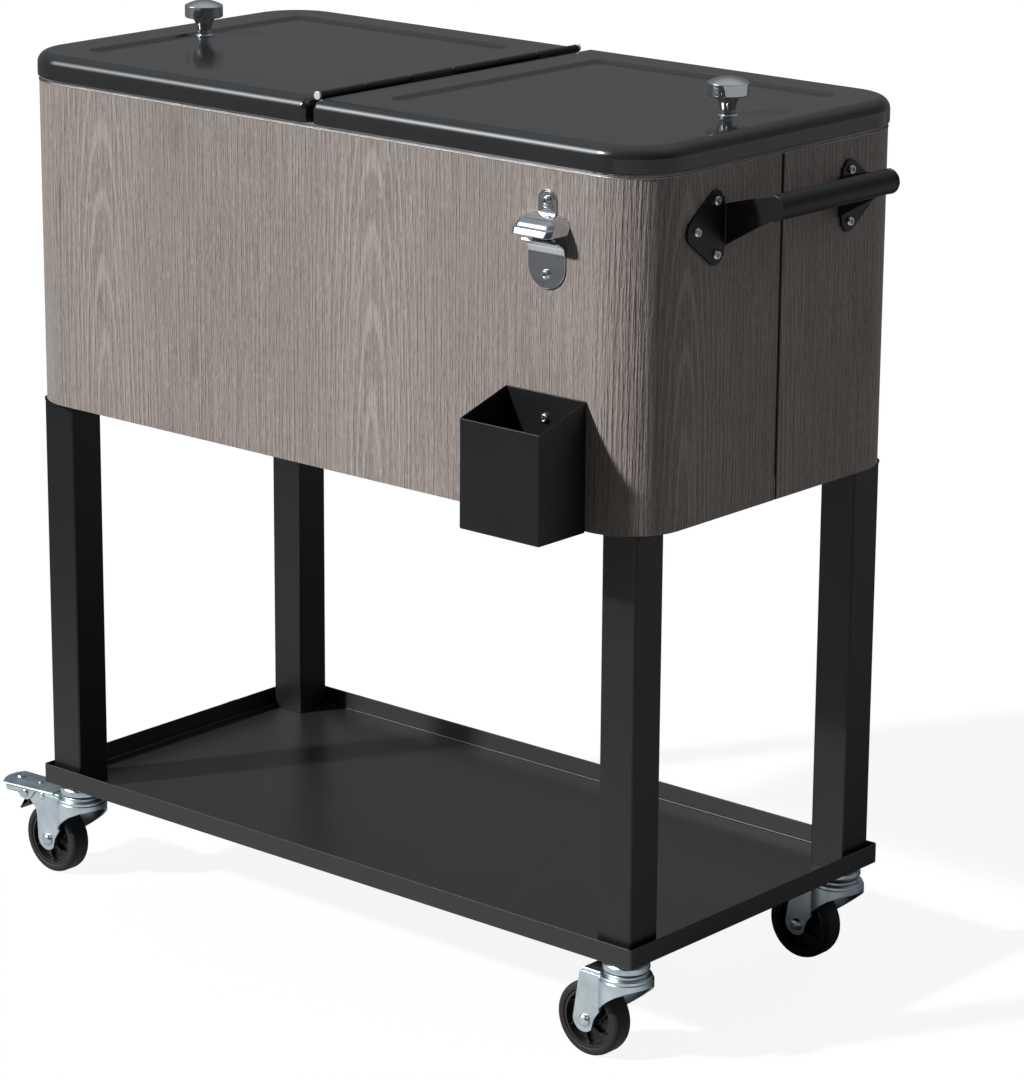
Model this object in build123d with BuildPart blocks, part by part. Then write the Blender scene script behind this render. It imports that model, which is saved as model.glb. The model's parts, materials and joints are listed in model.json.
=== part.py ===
from build123d import *
import os
from math import cos, radians, sin

# A rolling patio cooler: an insulated cabinet with two lids hinged along the middle,
# on four legs over a tray shelf with four swivel casters. Millimetres, +Z up.
# The ground is z = 0, and the box around the whole cooler is centred on the Z axis.

# Cabinet
body_length = 804.0
body_depth = 402.0
body_height = 328.5
body_corner = 58.0
body_sheet = 0.8
seam_gap = 0.6
nest_clearance = 0.2
rim_height = 2.5
rim_width = 9.0
rim_proud = 0.5
pan_sheet = 0.8
pan_flange = 22.0

# Liner, foam and the bar across the mouth
foam_thickness = 30.0
liner_wall = 3.0
liner_flange = 1.8
liner_floor_radius = 12.0
crossbar_width = 44.0
crossbar_height = 12.0
crossbar_wall = 1.5
crossbar_rise = 1.0

# Lids
lid_overhang = 1.5
lid_height = 23.7
lid_lift = 0.5
lid_edge_radius = 12.0
lid_gap = 8.4
lid_inner_corner = 16.0
lid_sheet = 1.2
recess_depth = 2.5
recess_end_margin = 54.0
recess_side_margin = 50.0
recess_corner = 9.0
recess_slope = 20.0
lid_panel = 2.0
lid_panel_inset = 0.5

# Piano hinge along the middle
hinge_inset = 15.5
knuckle_count = 6
knuckle_owners = ("left", "web", "right")
knuckle_radius = 3.6
knuckle_play = 0.3
pin_radius = 2.0
pin_rise = 0.5
pin_fit = 0.05
pin_head_radius = 3.4
pin_head = 2.5
leaf_thickness = 1.2
leaf_bottom_margin = 2.0
leaf_relief = 3.2
web_thickness = 1.6
web_foot_width = 20.0
web_foot = 1.0

# Lid knobs
knob_height = 37.0
knob_end_margin = 66.5
knob_cap_radius = 19.4
knob_cap_height = 12.0
knob_cap_edge = 1.5
knob_dome = 5.0
knob_neck_radius = 11.5
knob_waist_radius = 7.5
knob_waist_height = 5.0
knob_foot_radius = 9.5
knob_foot = 1.5
knob_stud_radius = 3.0
knob_stud = 4.0
hole_clearance = 0.2

# Tray shelf
tray_end_inset = 7.5
tray_side_inset = 8.5
tray_wall_height = 20.5
tray_sheet = 1.2
tray_corner = 2.0

# Legs
leg_side = 40.0
leg_wall = 1.2
leg_corner = 1.5
leg_length = 409.8
leg_inset = 7.0
leg_plate = 3.0
leg_plate_overhang = 6.0
leg_plate_side = 84.0
leg_plate_corner = 10.0
leg_bolt_radius = 3.0
leg_bolt_head_radius = 5.5
leg_bolt_head = 3.6
leg_bolt_end = 6.0
leg_bolt_margin = 11.0
plug_height = 22.0

# Casters
caster_height = 107.0
wheel_radius = 37.0
wheel_width = 22.0
wheel_trail = 38.0
tyre_thickness = 8.0
tyre_shoulder = 3.5
tyre_fit = 0.05
hub_web = 6.0
hub_rim = 3.0
hub_rim_recess = 1.0
hub_boss_radius = 9.0
hub_rib_count = 6
hub_rib_width = 3.0
hub_rib_recess = 3.5
axle_radius = 4.0
axle_fit = 0.05
axle_head_radius = 6.5
axle_head = 4.5
axle_nut = 5.0
nut_sides = 6
fork_plate = 2.5
fork_clearance = 1.5
fork_tip_radius = 11.0
fork_foot_tilt = 10.0
fork_back_lean = 8.0
fork_belly_out = 8.5
fork_belly_rise = 27.0
fork_crown_radius = 25.0
fork_crown_top_radius = 18.0
fork_crown_edge = 3.5
fork_crown_rise = 8.0
fork_roof = 3.0
fork_nose = 20.0
fork_skirt = 5.5
race_height = 9.5
race_gap = 1.2
race_radius = 22.5
race_cap_radius = 20.0
race_cap = 4.0
stem_radius = 5.0
stem_length = 16.0
kingpin_radius = 4.5
kingpin_fit = 0.05
kingpin_head_radius = 7.5
kingpin_head = 3.0

# Brake lever on the two casters at the left end
lever_reach = 108.0
lever_sheet = 2.0
lever_lift = 0.5
lever_root = 27.0
lever_corner = 8.0
lever_flange = 12.0
lever_flange_start = 43.0
lever_flange_end = 86.0
lever_fit = 0.3
lever_pivot_out = 50.0
lever_pivot_drop = 8.5
lever_pivot_radius = 3.0
lever_ear_radius = 7.5
lever_rivet_radius = 4.5
lever_rivet_head = 1.6
tongue_width = 18.0
tongue_thickness = 3.0
tongue_start = 66.0
tongue_knee_out = 72.0
tongue_knee_drop = 22.5
tongue_tip_out = 86.0
tongue_tip_drop = 31.5

# Side handle
handle_drop = 55.5
handle_half_span = 87.5
handle_sheet = 3.0
handle_bar_out = 56.0
handle_bar_rise = 22.5
handle_bar_radius = 11.7
handle_bar_wall = 1.5
handle_arm_radius = 12.0
handle_arm_half_height = 19.5
handle_screw_side = 13.0
handle_screw_rise = 24.5
handle_screw_far = 41.0
handle_lobe_radius = 10.0
handle_far_lobe_radius = 13.0

# Screws in the cabinet wall
screw_radius = 2.4
screw_head_radius = 4.6
screw_head = 3.0
screw_head_taper = 30.0
screw_length = 12.0
screw_pocket = 1.0

# Bottle opener and cap catcher, on the front
opener_end_margin = 109.0
opener_sheet = 1.6
opener_screw_drop = 31.0
opener_screw_pitch = 67.0
opener_tab_radius = 10.5
opener_plate_half_width = 20.5
opener_plate_drop = 42.5
opener_hood_drop = 28.5
opener_lip = 7.0
opener_neck_drop = 10.5
opener_hood_out = 27.0
opener_hood_half_width = 26.0
opener_lip_half_width = 23.0
opener_hood_corner = 7.0
opener_tongue_out = 11.0
opener_tongue_rise = 5.0
opener_neck_out = 4.0

catcher_width = 95.0
catcher_out = 64.7
catcher_overhang = 1.5
catcher_back_height = 122.5
catcher_front_height = 103.0
catcher_sheet = 1.2
catcher_top_screw_rise = 99.5
catcher_low_screw_rise = 40.5

# Drain under the liner
drain_end_margin = 102.0
drain_back_margin = 111.0
drain_bore_radius = 8.0
drain_pipe_radius = 11.0
drain_flange_radius = 17.0
drain_flange = 1.5
drain_drop = 18.0
drain_cap_radius = 15.0
drain_cap_height = 16.0
drain_cap_top = 3.0
drain_cap_fit = 0.3

# Cuts run this far past the faces that they cut
overrun = 5.0
full_turn = 360

# Heights up the cooler
tray_floor = caster_height + tray_sheet
leg_plate_bottom = tray_floor + leg_length
body_bottom = leg_plate_bottom + leg_plate
body_top = body_bottom + body_height
flange_top = body_top + liner_flange
lid_bottom = flange_top + lid_lift
lid_top = lid_bottom + lid_height
recess_floor = lid_top - recess_depth
pin_height = lid_top + pin_rise
crossbar_top = body_top + crossbar_rise
liner_bottom = body_bottom + pan_sheet + foam_thickness
liner_floor = liner_bottom + liner_wall
drain_seat = liner_floor - drain_flange - nest_clearance
drain_bottom = body_bottom - drain_drop
handle_height = body_top - handle_drop
opener_top_screw = body_top - opener_screw_drop
opener_low_screw = opener_top_screw - opener_screw_pitch
opener_hood_top = opener_top_screw - opener_neck_drop
opener_hood_bottom = opener_top_screw - opener_hood_drop
opener_plate_top = opener_top_screw - opener_plate_drop
catcher_bottom = body_bottom - catcher_overhang
catcher_back_top = catcher_bottom + catcher_back_height
catcher_front_top = catcher_bottom + catcher_front_height
catcher_top_screw = catcher_bottom + catcher_top_screw_rise
catcher_low_screw = catcher_bottom + catcher_low_screw_rise
crown_top = caster_height - race_height
fork_top = crown_top - fork_crown_rise
fork_belly_height = wheel_radius + fork_belly_rise
lever_pivot_height = fork_top - lever_pivot_drop
tongue_knee_height = fork_top - tongue_knee_drop
tongue_tip_height = fork_top - tongue_tip_drop

# Plan sizes that follow the cabinet
lid_end = body_length / 2 + lid_overhang
lid_side = body_depth / 2 + lid_overhang
lid_outer_corner = body_corner + lid_overhang
hinge_length = 2 * (lid_side - hinge_inset)
knob_reach = lid_end - knob_end_margin
opener_across = body_length / 2 - opener_end_margin
drain_across = drain_end_margin - body_length / 2
drain_back = body_depth / 2 - drain_back_margin
tray_length = body_length - 2 * tray_end_inset
tray_depth = body_depth - 2 * tray_side_inset
recess_start = lid_gap / 2 + recess_end_margin - lid_overhang
recess_end = lid_end - recess_end_margin
liner_length = body_length - 2 * foam_thickness
liner_depth = body_depth - 2 * foam_thickness
liner_corner = body_corner - foam_thickness
mouth_half_depth = liner_depth / 2 - liner_wall
pan_inset = body_sheet + nest_clearance
foam_inset = pan_inset + pan_sheet + nest_clearance
leg_x = tray_length / 2 - leg_inset - leg_side / 2
leg_y = tray_depth / 2 - leg_inset - leg_side / 2
fork_inner = wheel_width / 2 + fork_clearance
fork_outer = fork_inner + fork_plate
lever_width = 2 * (fork_outer + lever_fit + lever_sheet)
handle_tip_out = handle_bar_out + handle_arm_radius

# The cabinet's centre, set so that the box around the whole cooler is centred
right_reach = body_length / 2 + handle_tip_out
left_reach = leg_x + lever_reach
front_reach = body_depth / 2 + catcher_out
back_reach = lid_side
body_x = (left_reach - right_reach) / 2
body_y = (front_reach - back_reach) / 2

ground = Plane(origin=(body_x, body_y, 0))
front_wall = Plane(
    origin=(body_x, body_y - body_depth / 2, 0), x_dir=(1, 0, 0), z_dir=(0, -1, 0)
)
right_wall = Plane(
    origin=(body_x + body_length / 2, body_y, 0), x_dir=(0, 1, 0), z_dir=(1, 0, 0)
)

opener_screws = [(opener_across, opener_top_screw), (opener_across, opener_low_screw)]
catcher_screws = [(opener_across, catcher_top_screw), (opener_across, catcher_low_screw)]
handle_screws = [
    (side * (handle_half_span + along), handle_height + rise)
    for side in (-1, 1)
    for along, rise in (
        (handle_screw_side, handle_screw_rise),
        (handle_screw_side, -handle_screw_rise),
        (handle_screw_far, 0),
    )
]
leg_places = {
    "front_left": (-leg_x, -leg_y),
    "front_right": (leg_x, -leg_y),
    "back_left": (-leg_x, leg_y),
    "back_right": (leg_x, leg_y),
}
bolt_far = leg_plate_side - leg_plate_overhang - leg_side / 2 - leg_bolt_margin
bolt_near = leg_side / 2 + leg_plate_overhang - leg_bolt_margin
leg_bolts = [
    (x - (1 if x > 0 else -1) * dx, y - (1 if y > 0 else -1) * dy)
    for x, y in leg_places.values()
    for dx, dy in ((bolt_far, -bolt_near), (bolt_far, bolt_far), (-bolt_near, bolt_far))
]
drain_place = [(drain_across, drain_back)]

os.makedirs("parts", exist_ok=True)


def save(builder, name):
    """Label a finished piece and write it as parts/NAME.step."""
    builder.part.label = name
    export_step(builder.part, f"parts/{name}.step")


def round_holes(plane, points, radius, depth):
    """Cut round holes into the part, from just outside the plane to the given depth."""
    with BuildSketch(plane.offset(overrun)) as holes:
        with Locations(*points):
            Circle(radius)
    extrude(holes.sketch, amount=-depth - overrun, mode=Mode.SUBTRACT)


def disc(plane, points, radius, height, taper=0):
    """Add a round disc or pin that stands on the plane at each point."""
    with BuildSketch(plane) as ends:
        with Locations(*points):
            Circle(radius)
    extrude(ends.sketch, amount=height, taper=taper)


def body_outline(inset):
    """Draw the cabinet's outline in plan, drawn in by inset on all sides."""
    RectangleRounded(body_length - 2 * inset, body_depth - 2 * inset, body_corner - inset)


def body_ring(bottom, height, inset, width):
    """Add a ring that follows the cabinet's outline."""
    with BuildSketch(ground.offset(bottom)) as ring:
        body_outline(inset)
        RectangleRounded(
            body_length - 2 * (inset + width),
            body_depth - 2 * (inset + width),
            body_corner - inset - width,
            mode=Mode.SUBTRACT,
        )
    extrude(ring.sketch, amount=height)


# Cabinet shells: two wrapped halves that meet in a seam at each end
for half, side in (("front", -1), ("back", 1)):
    with BuildPart() as shell:
        body_ring(body_bottom, body_height - rim_height, 0, body_sheet)
        with BuildSketch(ground.offset(body_bottom - overrun)):
            with Locations((0, side * (seam_gap - body_depth) / 2)):
                Rectangle(body_length + 2 * overrun, body_depth)
        extrude(amount=body_height + 2 * overrun, mode=Mode.SUBTRACT)
        round_holes(right_wall, handle_screws, screw_radius + hole_clearance, 2 * body_sheet)
        if half == "front":
            round_holes(
                front_wall,
                opener_screws + catcher_screws,
                screw_radius + hole_clearance,
                2 * body_sheet,
            )
    save(shell, f"cabinet_{half}")

# Bright rim over the shells' top edges
with BuildPart() as top_rim:
    body_ring(body_top - rim_height, rim_height, -rim_proud, rim_width)
save(top_rim, "top_rim")

# Base pan with an upturned flange inside the shells
with BuildPart() as base_pan:
    with BuildSketch(ground.offset(body_bottom)):
        body_outline(pan_inset)
    extrude(amount=pan_sheet)
    body_ring(body_bottom, pan_flange, pan_inset, pan_sheet)
    with BuildSketch(ground.offset(body_bottom - overrun)):
        with Locations(*leg_bolts):
            Circle(leg_bolt_radius + hole_clearance)
        with Locations(*drain_place):
            Circle(drain_pipe_radius + hole_clearance)
    extrude(amount=pan_sheet + 2 * overrun, mode=Mode.SUBTRACT)
save(base_pan, "base_pan")

# Foam between the cabinet and the liner
with BuildPart() as insulation:
    with BuildSketch(ground.offset(body_bottom + pan_sheet)):
        body_outline(foam_inset)
    extrude(amount=body_height - pan_sheet - rim_height)
    with BuildSketch(ground.offset(liner_bottom - nest_clearance)):
        RectangleRounded(
            liner_length + 2 * nest_clearance,
            liner_depth + 2 * nest_clearance,
            liner_corner + nest_clearance,
        )
    extrude(amount=body_height, mode=Mode.SUBTRACT)
    pocket_radius = screw_radius + screw_pocket
    round_holes(right_wall, handle_screws, pocket_radius, screw_length + screw_pocket)
    round_holes(
        front_wall, opener_screws + catcher_screws, pocket_radius, screw_length + screw_pocket
    )
    with BuildSketch(ground.offset(body_bottom)):
        with Locations(*leg_bolts):
            Circle(leg_bolt_radius + screw_pocket)
    extrude(amount=leg_bolt_end + 2 * screw_pocket, mode=Mode.SUBTRACT)
    with BuildSketch(ground.offset(body_bottom)):
        with Locations(*drain_place):
            Circle(drain_pipe_radius + hole_clearance)
    extrude(amount=body_height, mode=Mode.SUBTRACT)
save(insulation, "insulation")

# Liner tub with a flange over the rim
with BuildPart() as liner:
    with BuildSketch(ground.offset(liner_bottom)):
        RectangleRounded(liner_length, liner_depth, liner_corner)
    extrude(amount=flange_top - liner_bottom)
    with BuildSketch(ground.offset(body_top)):
        body_outline(0)
    extrude(amount=liner_flange)
    with BuildSketch(ground.offset(liner_floor)):
        RectangleRounded(
            liner_length - 2 * liner_wall, liner_depth - 2 * liner_wall, liner_corner - liner_wall
        )
    extrude(amount=body_height, mode=Mode.SUBTRACT)
    floor_face = liner.faces().filter_by_position(
        Axis.Z, liner_floor - nest_clearance, liner_floor + nest_clearance
    )[0]
    fillet(floor_face.edges(), liner_floor_radius)
    floor_plane = ground.offset(liner_floor)
    round_holes(floor_plane, drain_place, drain_pipe_radius + hole_clearance, 2 * liner_wall)
    round_holes(
        floor_plane, drain_place, drain_flange_radius + hole_clearance, liner_floor - drain_seat
    )
save(liner, "liner")

# Channel bar across the middle of the mouth, carrying the hinge
with BuildPart() as crossbar:
    crossbar_length = 2 * (mouth_half_depth - nest_clearance)
    with BuildSketch(ground.offset(crossbar_top - crossbar_height)):
        Rectangle(crossbar_width, crossbar_length)
    extrude(amount=crossbar_height)
    with BuildSketch(ground.offset(crossbar_top - crossbar_height)):
        Rectangle(crossbar_width - 2 * crossbar_wall, crossbar_length - 2 * crossbar_wall)
    extrude(amount=crossbar_height - crossbar_wall, mode=Mode.SUBTRACT)
save(crossbar, "crossbar")

# Piano hinge: knuckles in turn for the left lid, the fixed web and the right lid
knuckle_pitch = hinge_length / knuckle_count
hinge_axis = Plane(
    origin=(body_x, body_y - hinge_length / 2, pin_height), x_dir=(1, 0, 0), z_dir=(0, 1, 0)
)
knuckle_starts = {
    owner: [
        index * knuckle_pitch for index in range(first, knuckle_count, len(knuckle_owners))
    ]
    for first, owner in enumerate(knuckle_owners)
}


def knuckles(owner, arm_centre, arm_thickness):
    """Add an owner's knuckles, each with the arm that ties it to the plate below."""
    for start in knuckle_starts[owner]:
        place = hinge_axis.offset(start + knuckle_play / 2)
        with BuildSketch(place) as section:
            Circle(knuckle_radius)
            with Locations((arm_centre, leaf_relief)):
                Rectangle(arm_thickness, 2 * leaf_relief)
        extrude(section.sketch, amount=knuckle_pitch - knuckle_play)
    with BuildSketch(hinge_axis.offset(-overrun)) as bore:
        Circle(pin_radius + pin_fit)
    extrude(bore.sketch, amount=hinge_length + 2 * overrun, mode=Mode.SUBTRACT)


with BuildPart() as hinge_web:
    with BuildSketch(ground.offset(crossbar_top)):
        Rectangle(web_foot_width, crossbar_length)
    extrude(amount=web_foot)
    with BuildSketch(ground.offset(crossbar_top)):
        Rectangle(web_thickness, crossbar_length)
    extrude(amount=pin_height - leaf_relief - knuckle_radius / 2 - crossbar_top)
    knuckles("web", 0, web_thickness)
save(hinge_web, "hinge_web")

with BuildPart() as hinge_pin:
    with BuildSketch(hinge_axis.offset(-knuckle_play)):
        Circle(pin_radius)
    extrude(amount=hinge_length + 2 * knuckle_play)
    for place in (hinge_axis.offset(-knuckle_play), hinge_axis.offset(hinge_length + knuckle_play)):
        outward = -pin_head if place.origin.Y < body_y else pin_head
        with BuildSketch(place):
            Circle(pin_head_radius)
        extrude(amount=outward)
    ends = hinge_pin.faces().sort_by(Axis.Y)
    fillet([*ends[0].edges(), *ends[-1].edges()], pin_head / 2)
save(hinge_pin, "hinge_pin")


def lid_outline(sketch, side, inset):
    """Draw one lid's outline in plan, drawn in by inset on all sides."""
    length = lid_end - lid_gap / 2 - 2 * inset
    with Locations((side * (lid_end + lid_gap / 2) / 2, 0)):
        Rectangle(length, 2 * (lid_side - inset))
    outer, inner = (-1, 0) if side > 0 else (0, -1)
    fillet(sketch.vertices().group_by(Axis.X)[outer], lid_outer_corner - inset)
    fillet(sketch.vertices().group_by(Axis.X)[inner], lid_inner_corner - inset)


def lid_block(side, bottom, inset):
    """Add a lid's block with its rounded upper edge and its recess, drawn in by inset."""
    with BuildSketch(ground.offset(bottom)) as outline:
        lid_outline(outline, side, inset)
    extrude(outline.sketch, amount=lid_top - inset - bottom)
    upper = faces().sort_by(Axis.Z)[-1]
    fillet(upper.edges(), lid_edge_radius - inset)
    with BuildSketch(ground.offset(recess_floor - inset)) as floor_shape:
        with Locations((side * (recess_start + recess_end) / 2, 0)):
            RectangleRounded(
                recess_end - recess_start + 2 * inset,
                2 * (lid_side - recess_side_margin + inset),
                recess_corner + inset,
            )
    depth = recess_depth + overrun
    extrude(floor_shape.sketch, amount=depth, taper=-recess_slope, mode=Mode.SUBTRACT)


for name, side in (("left", -1), ("right", 1)):
    knob_place = [(side * knob_reach, 0)]

    with BuildPart() as lid_core:
        lid_block(side, lid_bottom - overrun, lid_sheet)

    with BuildPart() as lid_shell:
        lid_block(side, lid_bottom, 0)
        add(lid_core.part, mode=Mode.SUBTRACT)
        stud_hole = knob_stud_radius + hole_clearance
        round_holes(ground.offset(recess_floor), knob_place, stud_hole, 2 * lid_sheet)
    save(lid_shell, f"lid_{name}_shell")

    panel_bottom = lid_bottom + lid_panel_inset
    with BuildPart() as lid_panel_part:
        with BuildSketch(ground.offset(panel_bottom)) as outline:
            lid_outline(outline, side, lid_sheet + nest_clearance)
        extrude(amount=lid_panel)
    save(lid_panel_part, f"lid_{name}_panel")

    with BuildPart() as lid_foam:
        lid_block(side, panel_bottom + lid_panel, lid_sheet + nest_clearance)
        stud_pocket = knob_stud_radius + screw_pocket
        round_holes(ground.offset(recess_floor), knob_place, stud_pocket, 2 * knob_stud)
    save(lid_foam, f"lid_{name}_foam")

    with BuildPart() as leaf:
        leaf_centre = side * (lid_gap - leaf_thickness) / 2
        leaf_bottom = lid_bottom + leaf_bottom_margin
        with BuildSketch(ground.offset(leaf_bottom)):
            with Locations((leaf_centre, 0)):
                Rectangle(leaf_thickness, hinge_length - knuckle_play)
        extrude(amount=pin_height - leaf_relief - leaf_bottom)
        knuckles(name, leaf_centre, leaf_thickness)
    save(leaf, f"lid_{name}_leaf")

    knob_axis = Plane(
        origin=(body_x + side * knob_reach, body_y, recess_floor), x_dir=(1, 0, 0), z_dir=(0, -1, 0)
    )
    with BuildPart() as knob:
        knob_cap_bottom = knob_height - knob_dome - knob_cap_height
        with BuildSketch(knob_axis):
            with BuildLine():
                Polyline(
                    (0, -knob_stud),
                    (knob_stud_radius, -knob_stud),
                    (knob_stud_radius, 0),
                    (knob_foot_radius, 0),
                    (knob_foot_radius, knob_foot),
                    (knob_waist_radius, knob_foot + knob_cap_edge),
                    (knob_waist_radius, knob_waist_height),
                )
                Spline(
                    (knob_waist_radius, knob_waist_height),
                    (knob_neck_radius, knob_cap_bottom),
                    tangents=((0, 1), (1, 1)),
                )
                Polyline(
                    (knob_neck_radius, knob_cap_bottom),
                    (knob_cap_radius - knob_cap_edge, knob_cap_bottom),
                    (knob_cap_radius, knob_cap_bottom + knob_cap_edge),
                    (knob_cap_radius, knob_cap_bottom + knob_cap_height - knob_cap_edge),
                )
                Spline(
                    (knob_cap_radius, knob_cap_bottom + knob_cap_height - knob_cap_edge),
                    (0, knob_height),
                    tangents=((-1, 1), (-1, 0)),
                )
                Line((0, knob_height), (0, -knob_stud))
            make_face()
        revolve(axis=Axis((body_x + side * knob_reach, body_y, 0), (0, 0, 1)))
    save(knob, f"lid_{name}_knob")

# Side handle: a tube between two folded brackets
for place, side in (("front", -1), ("back", 1)):
    with BuildPart() as bracket:
        with BuildSketch(right_wall):
            with BuildLine():
                for along, rise, radius in (
                    (handle_screw_side, handle_screw_rise, handle_lobe_radius),
                    (handle_screw_side, -handle_screw_rise, handle_lobe_radius),
                    (handle_screw_far, 0, handle_far_lobe_radius),
                ):
                    centre = (side * (handle_half_span + along), handle_height + rise)
                    CenterArc(centre, radius, 0, full_turn)
                foot = handle_screw_rise + handle_lobe_radius / 2
                Line(
                    (side * handle_half_span, handle_height - foot),
                    (side * handle_half_span, handle_height + foot),
                )
            make_hull()
            with Locations(*handle_screws):
                Circle(screw_radius + hole_clearance, mode=Mode.SUBTRACT)
        extrude(amount=handle_sheet)
        arm_face = Plane(
            origin=(body_x + body_length / 2, body_y + side * handle_half_span, handle_height),
            x_dir=(1, 0, 0),
            z_dir=(0, -1, 0),
        )
        with BuildSketch(arm_face):
            with BuildLine():
                CenterArc((handle_bar_out, handle_bar_rise), handle_arm_radius, 0, full_turn)
                Line((0, -handle_arm_half_height), (0, handle_arm_half_height))
            make_hull()
        extrude(amount=side * handle_sheet)
    save(bracket, f"handle_bracket_{place}")

bar_plane = Plane(
    origin=(
        body_x + body_length / 2 + handle_bar_out,
        body_y - handle_half_span + handle_sheet,
        handle_height + handle_bar_rise,
    ),
    x_dir=(1, 0, 0),
    z_dir=(0, 1, 0),
)
with BuildPart() as handle_bar:
    with BuildSketch(bar_plane):
        Circle(handle_bar_radius)
        Circle(handle_bar_radius - handle_bar_wall, mode=Mode.SUBTRACT)
    extrude(amount=2 * (handle_half_span - handle_sheet))
save(handle_bar, "handle_bar")

# Bottle opener: a wall plate with a hood over the cap's rim
opener_face = front_wall.offset(opener_sheet)


def hood_plan(height, half_width, lip_half_width, out, corner):
    """Draw the hood's section at a height, its straight side on the wall."""
    with BuildSketch(ground.offset(height)) as plan:
        wall = -body_depth / 2
        with BuildLine():
            Polyline(
                (opener_across - half_width, wall),
                (opener_across - lip_half_width, wall - out),
                (opener_across + lip_half_width, wall - out),
                (opener_across + half_width, wall),
                close=True,
            )
        make_face()
        fillet(plan.vertices().group_by(Axis.Y)[0], corner)
    return plan.sketch


def hood(wall_inset):
    """Add the hood's block, drawn in by wall_inset on its outer sides and top."""
    lip_top = opener_hood_bottom + opener_lip
    base = (
        opener_hood_half_width - wall_inset,
        opener_lip_half_width - wall_inset,
        opener_hood_out - wall_inset,
        opener_hood_corner - wall_inset,
    )
    neck_half = opener_tab_radius - wall_inset
    extrude(hood_plan(opener_hood_bottom, *base), amount=opener_lip)
    neck = hood_plan(
        opener_hood_top - wall_inset,
        neck_half,
        neck_half - wall_inset,
        opener_neck_out,
        opener_neck_out / 2,
    )
    loft([hood_plan(lip_top, *base), neck])


with BuildPart() as hood_inside:
    hood(opener_sheet)

with BuildPart() as bottle_opener:
    hood(0)
    add(hood_inside.part, mode=Mode.SUBTRACT)
    with BuildSketch(front_wall):
        with Locations(opener_screws[0]):
            Circle(opener_tab_radius)
        with Locations((opener_across, (opener_top_screw + opener_hood_bottom) / 2)):
            Rectangle(2 * opener_tab_radius, opener_top_screw - opener_hood_bottom)
    extrude(amount=opener_sheet)
    with BuildSketch(front_wall):
        low_centre = opener_low_screw + opener_plate_half_width - opener_tab_radius
        with Locations((opener_across, low_centre)):
            Circle(opener_plate_half_width)
        with Locations((opener_across, (low_centre + opener_plate_top) / 2)):
            Rectangle(2 * opener_plate_half_width, opener_plate_top - low_centre)
        with Locations((opener_across, (opener_plate_top + opener_hood_top) / 2)):
            Rectangle(2 * opener_tab_radius, opener_hood_top - opener_plate_top)
    extrude(amount=opener_sheet)
    tongue_edge = Plane(
        origin=(body_x + opener_across, body_y - body_depth / 2, opener_plate_top),
        x_dir=(0, -1, 0),
        z_dir=(-1, 0, 0),
    )
    with BuildSketch(tongue_edge):
        with BuildLine():
            Polyline(
                (0, 0),
                (0, -opener_sheet),
                (opener_tongue_out, opener_tongue_rise - opener_sheet),
                (opener_tongue_out, opener_tongue_rise),
                close=True,
            )
        make_face()
    extrude(amount=opener_plate_half_width, both=True)
    round_holes(opener_face, opener_screws, screw_radius + hole_clearance, 2 * opener_sheet)
save(bottle_opener, "bottle_opener")

# Cap catcher: an open box of sheet whose top slopes down to the front
side_view = Plane(
    origin=(body_x + opener_across - catcher_width / 2, body_y - body_depth / 2, 0),
    x_dir=(0, -1, 0),
    z_dir=(-1, 0, 0),
)
with BuildPart() as cap_catcher:
    with BuildSketch(side_view):
        with BuildLine():
            Polyline(
                (0, catcher_bottom),
                (catcher_out, catcher_bottom),
                (catcher_out, catcher_front_top),
                (0, catcher_back_top),
                close=True,
            )
        make_face()
    extrude(amount=-catcher_width)
    with BuildSketch(ground.offset(catcher_bottom + catcher_sheet)):
        with Locations((opener_across, -(body_depth + catcher_out) / 2)):
            Rectangle(catcher_width - 2 * catcher_sheet, catcher_out - 2 * catcher_sheet)
    extrude(amount=catcher_back_top - catcher_bottom, mode=Mode.SUBTRACT)
    round_holes(
        front_wall.offset(catcher_sheet),
        catcher_screws,
        screw_radius + hole_clearance,
        2 * catcher_sheet,
    )
save(cap_catcher, "cap_catcher")

# Pan-head screws that hold the handle, opener and catcher to the cabinet
with BuildPart() as wall_screws:
    for seat, points in (
        (right_wall.offset(handle_sheet), handle_screws),
        (opener_face, opener_screws),
        (front_wall.offset(catcher_sheet), catcher_screws),
    ):
        disc(seat, points, screw_head_radius, screw_head, screw_head_taper)
        disc(seat, points, screw_radius, -screw_length)
save(wall_screws, "wall_screws")

# Legs: square tubes with a plate under the cabinet
leg_bore = leg_side - 2 * leg_wall
plug_side = leg_bore - 2 * nest_clearance
for place, (x, y) in leg_places.items():
    inward_x, inward_y = (-1 if x > 0 else 1), (-1 if y > 0 else 1)
    with BuildPart() as leg:
        with BuildSketch(ground.offset(tray_floor)):
            with Locations((x, y)):
                RectangleRounded(leg_side, leg_side, leg_corner)
                Rectangle(leg_bore, leg_bore, mode=Mode.SUBTRACT)
        extrude(amount=leg_length)
        with BuildSketch(ground.offset(leg_plate_bottom)):
            shift = leg_plate_side / 2 - leg_side / 2 - leg_plate_overhang
            with Locations((x + inward_x * shift, y + inward_y * shift)):
                RectangleRounded(leg_plate_side, leg_plate_side, leg_plate_corner)
            with Locations(*leg_bolts):
                Circle(leg_bolt_radius + hole_clearance, mode=Mode.SUBTRACT)
        extrude(amount=leg_plate)
    save(leg, f"leg_{place}")

with BuildPart() as leg_bolt_set:
    bolt_shank = leg_plate + pan_sheet + leg_bolt_end
    disc(ground.offset(leg_plate_bottom), leg_bolts, leg_bolt_head_radius, -leg_bolt_head)
    disc(ground.offset(leg_plate_bottom), leg_bolts, leg_bolt_radius, bolt_shank)
save(leg_bolt_set, "leg_bolts")

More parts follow.
